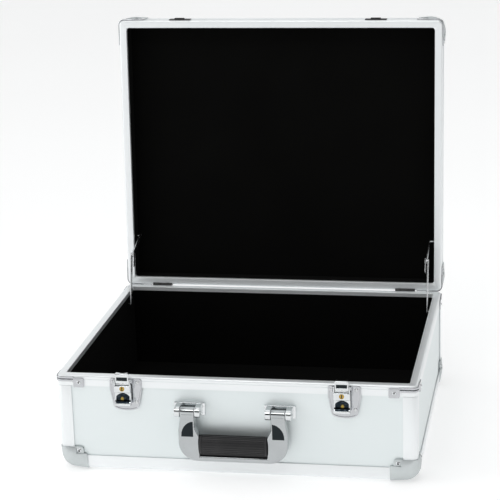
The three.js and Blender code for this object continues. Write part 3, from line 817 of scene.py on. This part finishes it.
def rim_length(ring, shell, side):
    """One mitred length, sawn out of the ring."""
    piece = twin(ring, f"{shell.name}_rim_{side}", Matrix.Identity(4))
    along_x = side in ("front", "back")
    sign = 1 if side in ("back", "right") else -1
    for end in (-1, 1):
        corner = (end * half_x, sign * half_y, 0) if along_x else (sign * half_x, end * half_y, 0)
        away = Vector((end, -sign, 0)) if along_x else Vector((-sign, end, 0))
        cut_off(piece, Vector(corner) - away.normalized() * MITRE_GAP, away)
    if side == "back":
        hinge_notch(piece, shell)
    soften(piece, 0)
    shell.hang(piece)
    lid_up = shell.way < 0 and not along_x
    finish = METALS["profile_x"] if along_x else METALS["profile_z" if lid_up else "profile_y"]
    return hand_over(piece, shell.name, finish, [f"{shell.name}_rim_frame"])


lid_ring = rim_ring(LID)
turn_over = Matrix.Translation((0, 0, LID.down(0) + BASE.down(0))) @ Matrix.Diagonal((1, 1, -1, 1))
base_ring = twin(lid_ring, "base_ring", turn_over)
for shell, ring in ((LID, lid_ring), (BASE, base_ring)):
    for side in SIDES:
        rim_length(ring, shell, side)
    bpy.data.objects.remove(ring)
print("rim profiles:", 2 * len(SIDES))

# %% [markdown]
# ## Ball corners
# A ball corner is a casting: the corner of the case swells into a ball, and a band runs out from
# it along each of the three edges. The ball is an eighth of a sphere. Each of its three open
# quarter circles is extruded along its edge and drawn in from the ball's radius to the profile's,
# and flat strips close the bands. The skin then gets its thickness.

# %% Ball corner casting
PROUD = 3 * MM
END_PROUD = 1.2 * MM
BALL_R = 20.5 * MM
BALL_LEG = 35 * MM
BAND = 21 * MM
BALL_CENTRE = BALL_R - PROUD
UP_LEG = 29.5 * MM
LID_LEG = LID_HEIGHT - 1.8 * MM - 14 * MM - 0.3 * MM
EAR_FROM, EAR_TO = 18.9 * MM, 30.5 * MM


def ball_skin(legs):
    """The outer skin in its own frame: the case's three outer faces are the planes at 0."""
    deselect()
    centre = Vector((BALL_CENTRE,) * 3)
    bpy.ops.mesh.primitive_uv_sphere_add(segments=32, ring_count=16, radius=BALL_R, location=centre)
    skin = settle(bpy.context.object)
    for axis in range(3):
        direction = Vector((axis == 0, axis == 1, axis == 2))
        edit(skin)
        bpy.ops.mesh.bisect(plane_co=centre, plane_no=direction, clear_outer=True, threshold=TINY)
        done()
    for axis, leg in enumerate(legs):
        draw_leg(skin, axis, leg)
    for axis in range(3):
        draw_strips(skin, axis, legs)
    edit(skin)
    bpy.ops.mesh.remove_doubles(threshold=2e-5)
    bpy.ops.mesh.normals_make_consistent(inside=False)
    done()
    return skin


def draw_leg(skin, axis, leg):
    """Extrudes the quarter circle that faces along axis, and draws it in."""
    points = [v.co.copy() for v in skin.data.vertices]
    edit(skin, "EDGE", lambda e: all(abs(points[i][axis] - BALL_CENTRE) < TINY for i in e.vertices))
    step = [0, 0, 0]
    step[axis] = leg - BALL_CENTRE
    bpy.ops.mesh.extrude_edges_move(TRANSFORM_OT_translate={"value": step})
    share = (EDGE_R + END_PROUD) / BALL_R
    size = [share] * 3
    size[axis] = 1
    pivot = [(share * PROUD - END_PROUD) / (1 - share)] * 3
    pivot[axis] = leg
    bpy.ops.transform.resize(value=size, center_override=pivot)
    done()


def draw_strips(skin, axis, legs):
    """On the face across axis, fills the two bands out to their width."""
    others = [i for i in range(3) if i != axis]
    for run, wide in (others, others[::-1]):
        band = min(BAND, legs[wide])
        points = [v.co.copy() for v in skin.data.vertices]

        def on_edge(e):
            """The straight edge from the ball's tangent point out to the leg's end."""
            ends = [points[i] for i in e.vertices]
            near, far = sorted(ends, key=lambda p: p[run])
            starts = abs(near[run] - BALL_CENTRE) < TINY and abs(near[axis] + PROUD) < TINY
            stops = abs(far[run] - legs[run]) < TINY and abs(far[axis] + END_PROUD) < TINY
            return starts and stops and max(near[wide], far[wide]) < BALL_CENTRE + TINY

        edit(skin, "EDGE", on_edge)
        bpy.ops.mesh.extrude_edges_move()
        flatten = [1, 1, 1]
        flatten[wide] = 0
        pivot = [0, 0, 0]
        pivot[wide] = band
        bpy.ops.transform.resize(value=flatten, center_override=pivot)
        done()
        near = [v for v in skin.data.vertices if v.select and abs(v.co[run] - BALL_CENTRE) < TINY]
        for vertex in near:
            vertex.co[run] = min(BAND, legs[run])


def ear(axis, low, high):
    """A flat tab on the panel, with its free corner rounded off."""
    r = 4.5 * MM
    flat = [(low, low), (high, low), *arc((high - r, high - r), r, 0, 90), (low, high)]
    outline = []
    for s, t in flat:
        point = [s, t]
        point.insert(axis, -1.2 * MM)
        outline.append(point)
    step = [0, 0, 0]
    step[axis] = 2.7 * MM
    return soften(pull(draw("ear", outline), step), 0.4 * MM)


def ball_corner(legs, ears):
    skin = ball_skin(legs)
    use(skin, "SOLIDIFY", thickness=2.6 * MM, offset=-1)
    soften(skin, 0.35 * MM, 2, 50)
    return weld(skin, *[ear(axis, EAR_FROM, EAR_TO) for axis in ears])


for shell, up_leg, ears in ((BASE, UP_LEG, (0, 1, 2)), (LID, LID_LEG, (2,))):
    legs = (BALL_LEG, BALL_LEG, up_leg)
    pattern = ball_corner(legs, ears)
    for name, (sx, sy) in CORNERS.items():
        place = Matrix.Translation((sx * half_x, sy * half_y, shell.plane))
        change = place @ Matrix.Diagonal((-sx, -sy, shell.way, 1))
        piece = twin(pattern, f"{shell.name}_ball_{name}", change)
        soften(piece, 0)
        shell.hang(piece)
        hand_over(piece, shell.name, METALS["casting"], [f"{shell.name}_ball_corner_{name}"])
    bpy.data.objects.remove(pattern)
print("ball corners:", 2 * len(CORNERS))

# %% [markdown]
# ## Rim corners
# Each corner of a rim is held by a pressed strap: a band round the corner with a square ear near
# each end, riveted to the profile. It is an outline of the strap seen from above, pulled to its
# width, with the ears as two small plates.

# %% Rim corners
STRAP = 1.2 * MM
STRAP_OUT = 1.5 * MM
STRAP_REACH = 36 * MM


def rim_corner(shell, name, sx, sy):
    outer = EDGE_R + STRAP_OUT
    end = STRAP_REACH - 13 * MM
    path = [(end, -STRAP_OUT), *arc((EDGE_R, EDGE_R), outer, 270, 180, 10), (-STRAP_OUT, end)]
    back = [(STRAP - STRAP_OUT, end), *arc((EDGE_R, EDGE_R), outer - STRAP, 180, 270, 10),
            (end, STRAP - STRAP_OUT)]

    def roll(name, depth, wide, shrink):
        """One length of the band, lying depth below the rim; shrink draws it inwards."""
        flat = [(sx * (half_x - a - shrink), sy * (half_y - b - shrink), shell.down(depth))
                for a, b in path + back]
        return pull(draw(name, flat), (0, 0, -shell.way * wide))

    band = soften(roll("band", 1.8 * MM, 2.8 * MM, 0), 0.6 * MM, 3)
    lower_band = soften(roll("band", 5.5 * MM, 2.8 * MM, 0), 0.6 * MM, 3)
    # Painted reflection: a dark strip sunk between the two bands stands for the dark line across the
    # strap's bright reflection.
    painted_dark_line = soften(roll(f"{shell.name}_strap_line_{name}", 4.3 * MM, 1.5 * MM, 0.35 * MM), 0)
    shell.hang(painted_dark_line)
    hand_over(painted_dark_line, shell.name, METALS["painted_dark"])
    plates = [lower_band]
    near, far = STRAP_REACH - 14 * MM, STRAP_REACH
    for turned in (False, True):
        low, high = (near, -STRAP_OUT), (far, STRAP - STRAP_OUT)
        if turned:
            low, high = low[::-1], high[::-1]
        first = (sx * (half_x - low[0]), sy * (half_y - low[1]), shell.down(3 * MM))
        last = (sx * (half_x - high[0]), sy * (half_y - high[1]), shell.down(15.8 * MM))
        plate = block("plate", first, last)
        upright = 1 if turned else 0
        ends = [v.co.copy() for v in plate.data.vertices]
        edit(plate, "EDGE", lambda e: abs((ends[e.vertices[0]] - ends[e.vertices[1]])[1 - upright]) > TINY)
        bpy.ops.mesh.bevel(offset=1.8 * MM, segments=4)
        done()
        plates.append(soften(plate, 0.3 * MM))
    piece = weld(band, *plates)
    piece.name = f"{shell.name}_strap_{name}"
    shell.hang(piece)
    solid = f"{shell.name}_rim_corner_{name}"
    return hand_over(piece, shell.name, METALS["pressed"], [solid])


for shell in SHELLS:
    for name, (sx, sy) in CORNERS.items():
        rim_corner(shell, name, sx, sy)
print("rim corners:", 2 * len(CORNERS))

# %% [markdown]
# ## Rivets
# One domed rivet is modelled once and copied. It starts as a sphere, is sawn flat and pressed
# lower, so that it sits on the metal like a drop. Each copy is turned to face the way its plate
# faces.

# %% Rivets
def rivet_head(radius, height):
    deselect()
    bpy.ops.mesh.primitive_uv_sphere_add(segments=24, ring_count=12, radius=radius)
    head = settle(bpy.context.object)
    cut_off(head, (0, 0, 0), (0, 0, -1))
    edit(head)
    bpy.ops.transform.resize(value=(1, 1, height / radius), center_override=(0, 0, 0))
    done()
    return soften(head, 0)


def set_rivets(name, head, body, shell, finish, spots):
    """Copies a rivet to each (point, direction) and joins the copies to one piece."""
    copies = []
    for point, direction in spots:
        turn = Vector(direction).to_track_quat("Z", "Y").to_matrix().to_4x4()
        copies.append(twin(head, name, Matrix.Translation(point) @ turn))
    piece = weld(*copies)
    piece.name = name
    shell.hang(piece)
    return hand_over(piece, body, finish)


big_rivet = rivet_head(3.0 * MM, 1.4 * MM)
small_rivet = rivet_head(2.6 * MM, 1.0 * MM)
big_hole_shade = rivet_head(1.25 * MM, 0.5 * MM)
small_hole_shade = rivet_head(1.1 * MM, 0.4 * MM)


def blind_rivets(name, head, hole_shade, rise, body, shell, spots):
    """Rivets with a small dark dome in the middle of each head: painted shade for the hole there."""
    set_rivets(name, head, body, shell, METALS["chrome"], spots)
    raised = [(Vector(point) + rise * Vector(way), way) for point, way in spots]
    # Painted shade: the dark domes stand for the shade inside the rivet holes.
    set_rivets(f"{name}_stubs", hole_shade, body, shell, METALS["painted_dark"], raised)


for shell in SHELLS:
    for name, (sx, sy) in CORNERS.items():
        mid = (EAR_FROM + EAR_TO) / 2
        tab = 1.15 * MM
        ears = [((sx * (half_x - mid), sy * (half_y - mid), shell.z(-tab)), (0, 0, -shell.way))]
        if shell is BASE:
            ears.append(((sx * (half_x - mid), sy * (half_y + tab), shell.z(mid)), (0, sy, 0)))
            ears.append(((sx * (half_x + tab), sy * (half_y - mid), shell.z(mid)), (sx, 0, 0)))
        blind_rivets(f"{shell.name}_ball_rivets_{name}", big_rivet, big_hole_shade, 1.25 * MM,
                     shell.name, shell, ears)
        along = STRAP_REACH - 7 * MM
        low = shell.down(9.4 * MM)
        straps = [((sx * (half_x - along), sy * (half_y + STRAP_OUT), low), (0, sy, 0)),
                  ((sx * (half_x + STRAP_OUT), sy * (half_y - along), low), (sx, 0, 0))]
        blind_rivets(f"{shell.name}_strap_rivets_{name}", small_rivet, small_hole_shade, 0.85 * MM,
                     shell.name, shell, straps)
print("rivets are set")

# %% [markdown]
# ## The carrying handle
# Two mounts are riveted to the front panel. Between their cheeks hang the arms of the bail, and
# the grip is moulded over the bail's lower bar. The bail is drawn as it looks from the front and
# pulled to its depth; a wide bevel gives the arms their soft polished edges.

# %% Handle sizes
pivot = Vector(joints["handle_swing"]["pos_m"])
grip_low, grip_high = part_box("handle_grip")
bail_low, bail_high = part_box("handle_bail")
pin_low, pin_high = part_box("handle_pin_right")
ARM_MID = (pin_low.x + pin_high.x) / 2
ARM_HALF = 9.1 * MM
BARREL = 6.5 * MM
front = -half_y
print("handle pivot", tuple(round(v, 4) for v in pivot), "arm at", round(ARM_MID, 4))

# %% [markdown]
# ### The bail
# The arms are broad and flat with soft edges, and end in round eyes about the pins. Low on each
# arm is a painted dark reflection, a thin dark sheet of its own, so that its outline stays crisp.

# %% Bail
def bail():
    inside, outside = ARM_MID - ARM_HALF, ARM_MID + ARM_HALF
    wide = bail_high.x
    low = bail_low.z
    bend = 24 * MM
    grip_end = grip_high.x + 0.3 * MM
    strip_top = grip_low.z - 0.3 * MM
    right = [*arc((wide - bend, low + bend), bend, -90, 0, 14), (wide, pivot.z - 24 * MM),
             (outside, pivot.z - 8 * MM), (outside, pivot.z), (inside, pivot.z),
             (inside, pivot.z - 20 * MM), (grip_end, pivot.z - 30 * MM), (grip_end, strip_top)]
    outline = right + [(-x, z) for x, z in reversed(right)]
    back = pivot.y + BARREL
    body = pull(draw("handle_bail_bright", [(x, back, z) for x, z in outline]), (0, -2 * BARREL, 0))
    soften(body, 2.2 * MM, 5, 25)
    eyes = []
    for sx in (-1, 1):
        start = (sx * ARM_MID - ARM_HALF, pivot.y, pivot.z)
        eye = rod("eye", start, (sx * ARM_MID + ARM_HALF, pivot.y, pivot.z), BARREL, 48)
        eyes.append(soften(eye, 0.5 * MM, 3))
    weld(body, *eyes)
    return hand_over(body, "handle", METALS["bail"], ["handle_bail"])


def bail_painted_reflection(sx):
    """A painted dark reflection low on each arm, as a thin dark polished sheet."""
    inner = ARM_MID - ARM_HALF + 1.6 * MM
    outer = ARM_MID + ARM_HALF - 1.2 * MM
    low, high = pivot.z - 31 * MM, pivot.z - 10.5 * MM
    curve = [(inner + (outer - inner) * math.sin(t) ** 1.2, low + (high - low) * math.cos(t) ** 0.85)
             for t in (math.radians(a) for a in range(6, 91, 12))]
    flat = [(inner, low), (inner, high), *curve[1:], (outer, low)]
    y = pivot.y - BARREL - 0.15 * MM
    piece = draw(f"handle_facet_{'left' if sx < 0 else 'right'}", [(sx * x, y, z) for x, z in flat])
    soften(pull(piece, (0, 0.8 * MM, 0)), 0.12 * MM)
    return hand_over(piece, "handle", METALS["painted_dark"])


bail()
for sx in (-1, 1):
    bail_painted_reflection(sx)
print("bail from", round(bail_low.z, 4), "to", round(bail_high.z, 4))

# %% [markdown]
# ### The grip
# The grip is an oval of black rubber with ribs along its length. A cylinder with many sides is
# pressed oval, every second side is inset, and the insets are pushed in a little: that leaves the
# ribs standing. The ends keep a smooth collar.

# %% Grip
def grip():
    centre = (grip_low + grip_high) / 2
    half_out = (grip_high.y - grip_low.y) / 2
    half_up = (grip_high.z - grip_low.z) / 2
    collar = 3 * MM
    sides = 56
    body = rod("grip_rubber", (grip_low.x + collar, 0, 0), (grip_high.x - collar, 0, 0), half_up, sides)
    edit(body, "FACE", lambda f: abs(f.normal.x) < 0.5 and f.index % 2 == 0)
    bpy.ops.mesh.inset(thickness=0.25 * MM, depth=-0.7 * MM, use_individual=True)
    done()
    for start, end in ((grip_low.x, grip_low.x + collar), (grip_high.x - collar, grip_high.x)):
        ring = rod("collar", (start, 0, 0), (end, 0, 0), half_up, sides)
        body = weld(body, soften(ring, 0.8 * MM, 3))
    soften(body, 0)
    body.matrix_world = Matrix.Translation(centre) @ Matrix.Diagonal((1, half_out / half_up, 1, 1))
    body.name = "grip_rubber"
    settle(body)
    return hand_over(body, "handle", RUBBER, ["handle_grip"])


grip()
print("grip length", round((grip_high.x - grip_low.x) / MM, 1), "mm")

# %% [markdown]
# ### The mounts
# A mount is a plate on the panel with two round-nosed cheeks. One outline serves for both cheeks,
# pulled to its width on each side of the arm. The pin goes through both and ends in domed heads.

# %% Handle mounts
def mount(side, sx):
    low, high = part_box(f"handle_mount_{side}")
    r = 7 * MM
    rounded = [(pivot.y - y, pivot.z + z) for y, z in arc((0, 0), r, -90, 90, 16)]
    profile = [(front + 0.3 * MM, pivot.z - r), *rounded, (front + 0.3 * MM, pivot.z + r)]
    parts = []
    for near in (ARM_MID - ARM_HALF - 7.65 * MM, ARM_MID + ARM_HALF + 0.35 * MM):
        cheek = draw("cheek", [(sx * near, y, z) for y, z in profile])
        parts.append(soften(pull(cheek, (sx * 7.3 * MM, 0, 0)), 0.9 * MM, 4))
    plate = block("plate", (low.x, front - 1.2 * MM, low.z), (high.x, front + WALL, high.z))
    parts.append(soften(plate, 0.6 * MM, 3))
    piece = weld(*parts)
    piece.name = f"mount_{side}"
    return hand_over(piece, "base", METALS["chrome"], [f"handle_mount_{side}"])


def pin_heads(side, sx):
    """The pin's two peened ends, on the outsides of the cheeks."""
    low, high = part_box(f"handle_pin_{side}")
    bar = rod(f"pin_{side}", (low.x, pivot.y, pivot.z), (high.x, pivot.y, pivot.z), 2 * MM)
    soften(bar, 0.5 * MM, 3)
    heads = []
    for x, way in ((low.x, -1), (high.x, 1)):
        turn = Vector((way, 0, 0)).to_track_quat("Z", "Y").to_matrix().to_4x4()
        place = Matrix.Translation((x - way * 0.2 * MM, pivot.y, pivot.z))
        heads.append(twin(big_rivet, "head", place @ turn))
    weld(bar, *heads)
    return hand_over(bar, "base", METALS["steel"], [f"handle_pin_{side}"])


for side, sx in (("left", -1), ("right", 1)):
    mount(side, sx)
    pin_heads(side, sx)
print("mounts and pins are in place")

# %% [markdown]
# ## The draw latches
# A latch is a shield-shaped plate with two cheeks, a lever that swings between them, a hook that
# catches the keeper on the lid, and a brass lock cylinder. The lever is a small hollow box above
# and a polished scoop below, where a finger pulls. The scoop is concave: it is drawn as the side
# view of the lever and pulled across its width.

# %% Latch sizes
LATCH = {side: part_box(f"latch_plate_{side}") for side in ("left", "right")}
LEVER_SHIFT = -2.5 * MM


def latch_x(side):
    low, high = LATCH[side]
    return (low.x + high.x) / 2


def across(name, profile, x0, x1):
    """A side view [out of the front face, height above the rim] pulled from x0 to x1."""
    outline = [(x0, front - out, base_rim + up) for out, up in profile]
    return pull(draw(name, outline), (x1 - x0, 0, 0))

# %% [markdown]
# ### Latch plate
# The plate is drawn as a shield and pressed: its face is inset twice, and the second inset sinks
# the field a little below the border, as a press tool does.

# %% Latch plate
def latch_plate(side):
    x = latch_x(side)
    half, tail_half = 20.7 * MM, 16.5 * MM
    tail = [(tail_half * math.cos(t), -(38.6 + 5.9 * math.sin(t)) * MM) for t in
            (math.radians(a) for a in range(0, 181, 15))]
    shield = [(half - 2 * MM, -1.8 * MM), (half, -3.8 * MM), (half, -17 * MM), *tail,
              (-half, -17 * MM), (-half, -3.8 * MM), (2 * MM - half, -1.8 * MM)]
    piece = draw(f"latch_shield_{side}", [(x + a, front - 0.3 * MM, base_rim + b) for a, b in shield])
    pull(piece, (0, -1.2 * MM, 0))
    edit(piece, "FACE", lambda f: f.normal.y < -0.9)
    bpy.ops.mesh.inset(thickness=1.5 * MM, depth=0)
    bpy.ops.mesh.inset(thickness=0.5 * MM, depth=-0.35 * MM)
    done()
    soften(piece, 0.2 * MM)
    parts = []
    for sx in (-1, 1):
        near = x + LEVER_SHIFT + sx * 10.8 * MM
        profile = [(1.2 * MM, -9 * MM), (4 * MM, -9 * MM), *[(9.3 * MM + a, b - 2.2 * MM) for a, b in
                   arc((0, 0), 2.4 * MM, -90, 90, 12)], (1.2 * MM, -1.8 * MM)]
        parts.append(soften(across("cheek", profile, near, near + sx * 1.5 * MM), 0.3 * MM))
    weld(piece, *parts)
    return hand_over(piece, "base", METALS["pressed"], [f"latch_plate_{side}"])

# %% [markdown]
# ### Lever and scoop
# The scoop's curve is a quarter of an ellipse in the side view. Its face is a thin sheet with a
# painted reflection, along the same curve, trimmed to an arch by intersecting it with a round bar.

# %% Lever
def lever(side):
    x = latch_x(side) + LEVER_SHIFT
    half = 10.4 * MM
    scoop = [(7.4 * MM + 4.2 * MM * (1 - math.cos(t)), -19.5 * MM - 12.2 * MM * math.sin(t)) for t in
             (math.radians(a) for a in range(0, 91, 9))]
    profile = [(4 * MM, -8.3 * MM), (10.2 * MM, -8.3 * MM), (11 * MM, -9.1 * MM), (11 * MM, -17 * MM),
               (10.4 * MM, -17.8 * MM), (7.6 * MM, -18.6 * MM), *scoop, (12.4 * MM, -32.2 * MM),
               (12.4 * MM, -34.4 * MM), (11.8 * MM, -35 * MM), (4 * MM, -35 * MM)]
    piece = across(f"lever_{side}", profile, x - half, x + half)
    soften(piece, 0.45 * MM, 3, 20)
    parts = []
    for sx in (-1, 1):
        near = x + sx * 9 * MM
        arm = [(10.2 * MM, -8.6 * MM), *[(9.3 * MM + a, b - 2.2 * MM) for a, b in
               arc((0, 0), 2.3 * MM, 0, 180, 12)], (5.6 * MM, -8.6 * MM)]
        parts.append(soften(across("arm", arm, near, near + sx * 1.4 * MM), 0.25 * MM))
        pin = rod("pin", (near, front - 9.3 * MM, base_rim - 2.2 * MM),
                  (x + sx * 12.6 * MM, front - 9.3 * MM, base_rim - 2.2 * MM), 1.2 * MM)
        parts.append(soften(pin, 0.3 * MM))
    weld(piece, *parts)
    return hand_over(piece, f"lever_{side}", METALS["chrome"], [f"latch_lever_{side}"])


def painted_scoop_sheet(side):
    """The sheet with the scoop's painted reflection, arched at its top."""
    x = latch_x(side) + LEVER_SHIFT
    rise = 0.3 * MM
    curve = [(7.4 * MM + 4.2 * MM * (1 - math.cos(t)) + rise, -19.5 * MM - 12.2 * MM * math.sin(t) + rise)
             for t in (math.radians(a) for a in range(0, 82, 9))]
    under = [(out - 0.8 * MM, up - 0.8 * MM) for out, up in reversed(curve)]
    sheet = across(f"scoop_{side}", curve + under, x - 8.6 * MM, x + 8.6 * MM)
    centre = base_rim - 30 * MM
    disc = rod("disc", (x, front, centre), (x, front - 20 * MM, centre), 10.8 * MM, 64)
    carve(sheet, disc, "INTERSECT")
    soften(sheet, 0)
    return hand_over(sheet, f"lever_{side}", METALS["scoop"])

# %% [markdown]
# ### Hook
# The hook is a strip bent over at the top, so it too is a side view pulled across. The window and
# the hollow in its top edge are cut afterwards.

# %% Hook
def hook(side):
    """The hook is a bent strip with a window and a hollowed top edge."""
    x = latch_x(side) + LEVER_SHIFT
    half = 8.6 * MM
    profile = [(7.5 * MM, -6.6 * MM), (8.9 * MM, -6.6 * MM), (10 * MM, -4 * MM), (10 * MM, 6.4 * MM),
               (9.2 * MM, 7.2 * MM), (3.9 * MM, 7.2 * MM), (3.9 * MM, 6 * MM), (8.7 * MM, 6 * MM),
               (8.7 * MM, -3.7 * MM)]
    piece = across(f"hook_{side}", profile, x - half, x + half)
    window = block("window", (x - 7 * MM, front - 11 * MM, base_rim - 1.9 * MM),
                   (x + 7 * MM, front - 8 * MM, base_rim + 2.7 * MM))
    carve(piece, window)
    bite_y = front - 0.2 * MM
    bite = rod("bite", (x, bite_y, base_rim + 5 * MM), (x, bite_y, base_rim + 8 * MM), 6.2 * MM, 40)
    carve(piece, bite)
    soften(piece, 0.25 * MM)
    knuckle = rod("knuckle", (x - half, front - 8.2 * MM, base_rim - 6.6 * MM),
                  (x + half, front - 8.2 * MM, base_rim - 6.6 * MM), 1.4 * MM)
    weld(piece, soften(knuckle, 0.3 * MM))
    # Painted shade: a dark sheet set in the window stands for the shade seen through it.
    window_shade = block(f"hook_pane_{side}", (x - 7.2 * MM, front - 9.4 * MM, base_rim - 2.1 * MM),
                 (x + 7.2 * MM, front - 8.9 * MM, base_rim + 2.9 * MM))
    hand_over(soften(window_shade, 0), f"hook_{side}", METALS["painted_dark"])
    return hand_over(piece, f"hook_{side}", METALS["chrome"], [f"latch_hook_{side}"])

# %% [markdown]
# ### Lock
# A turned brass bar would do for the lock, but its face is what shows. Two insets give the raised
# ring, and a cut takes the keyway, with a dark block set into it as painted shade.

# %% Lock cylinder
def lock(side):
    """The brass cylinder's face has a raised ring, a sunk disc and an upright keyway."""
    x = latch_x(side) + LEVER_SHIFT
    low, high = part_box(f"lock_cylinder_{side}")
    z = (low.z + high.z) / 2
    radius = (high.z - low.z) / 2
    piece = rod(f"lock_{side}", (x, high.y, z), (x, low.y, z), radius, 40)
    edit(piece, "FACE", lambda f: f.normal.y < -0.9)
    bpy.ops.mesh.inset(thickness=0.7 * MM, depth=0)
    bpy.ops.mesh.inset(thickness=0.15 * MM, depth=-0.4 * MM)
    done()
    keyway = block("keyway", (x - 0.7 * MM, low.y - MM, z - 2.3 * MM),
                   (x + 0.7 * MM, low.y + 3 * MM, z + 2.3 * MM))
    carve(piece, keyway)
    soften(piece, 0.12 * MM)
    # Painted shade: a dark block inside the keyway stands for the shade in it.
    keyway_shade = block(f"keyway_{side}", (x - 0.6 * MM, low.y + 0.25 * MM, z - 2.2 * MM),
                 (x + 0.6 * MM, low.y + 2 * MM, z + 2.2 * MM))
    hand_over(keyway_shade, f"lock_{side}", METALS["painted_dark"])
    return hand_over(piece, f"lock_{side}", METALS["brass"], [f"lock_cylinder_{side}"])


for side in ("left", "right"):
    latch_plate(side)
    lever(side)
    painted_scoop_sheet(side)
    hook(side)
    lock(side)
print("latches at", [round(latch_x(side), 4) for side in ("left", "right")])

# %% [markdown]
# ## Screws on the latch plates
# Each plate is held by three cross-headed screws. One screw is modelled once: a low dome with two
# crossed slots sunk into it by a boolean cut.

# %% Screws
def screw_head(radius, height):
    head = rivet_head(radius, height)
    for width, length in ((0.5 * MM, radius), (radius, 0.5 * MM)):
        carve(head, block("slot", (-width, -length, height * 0.45), (width, length, height * 2)))
    return soften(head, 0)


screw = screw_head(2.5 * MM, 0.9 * MM)
for side in ("left", "right"):
    x = latch_x(side)
    spots = [((x + a * MM, front - 1.15 * MM, base_rim + b * MM), (0, -1, 0))
             for a, b in ((-16.6, -7.7), (15.0, -6.9), (13.2, -33.0))]
    set_rivets(f"latch_screws_{side}", screw, "base", BASE, METALS["steel"], spots)
print("screws are set")

# %% [markdown]
# ## Fittings kept from the solid model
# Keepers, hinge leaves and stay links are already the right shape. A copy of each gets its loose
# triangles merged into clean faces, a fine bevel that catches the light, and its finish.

# %% Softened copies
def softened_copy(node, body, finish, width=0.25 * MM):
    source = frame["nodes"][node]
    copy = bpy.data.objects.new(f"{node}_fine", source.data.copy())
    bpy.context.scene.collection.objects.link(copy)
    edit(copy)
    bpy.ops.mesh.remove_doubles(threshold=1e-6)
    bpy.ops.mesh.dissolve_limited(angle_limit=math.radians(1))
    done()
    soften(copy, width)
    return hand_over(copy, body, finish, [node])


for side in ("left", "right"):
    softened_copy(f"latch_keeper_{side}", "lid", METALS["blackened"])
    softened_copy(f"hinge_base_leaf_{side}", "base", METALS["blackened"])
    softened_copy(f"hinge_lid_leaf_{side}", "lid", METALS["blackened"])
    softened_copy(f"stay_lower_{side}", f"stay_lower_{side}", METALS["steel"])
    softened_copy(f"stay_upper_{side}", f"stay_upper_{side}", METALS["steel"])
print("softened copies are in place")

# %% [markdown]
# ## Knuckles of the stays
# Where the two links of a stay meet, the lower one carries a small folded plate that stops the
# knuckle from passing its dead point. Here it is flat: an outline with a notch in each long side,
# pulled to the thickness of the sheet and set against the lower link.

# %% Knuckle plates
def knuckle_plate(side):
    low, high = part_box(f"stay_lower_{side}")
    sx = 1 if side == "right" else -1
    x = low.x - 0.4 * MM if sx > 0 else high.x + 0.4 * MM
    base = Vector(joints[f"stay_base_pivot_{side}"]["pos_m"])
    elbow = Vector((x, high.y - 3.4 * MM, high.z - 3.4 * MM))
    along = Vector((0, elbow.y - base.y, elbow.z - base.z)).normalized()
    across = Vector((0, -along.z, along.y))
    half = [(5, 1.5), (4, 3.6), (-3.5, 3.6), (-4.5, 2.6), (-8, 2.6), (-9, 3.6), (-15, 3.6), (-17, 1.5)]
    flat = half + [(s, -t) for s, t in reversed(half)]
    points = [elbow + s * MM * along + t * MM * across for s, t in flat]
    plate = pull(draw(f"stay_knuckle_{side}", points), (-sx * 0.8 * MM, 0, 0))
    soften(plate, 0.2 * MM)
    return hand_over(plate, f"stay_lower_{side}", METALS["steel"])


for side in ("left", "right"):
    knuckle_plate(side)
print("knuckle plates are on")

# %% [markdown]
# ## Clearing up
# The patterns that the rivets and screws were copied from are thrown away.

# %% Finish
for spare in (big_rivet, small_rivet, big_hole_shade, small_hole_shade, screw):
    bpy.data.objects.remove(spare)
deselect()
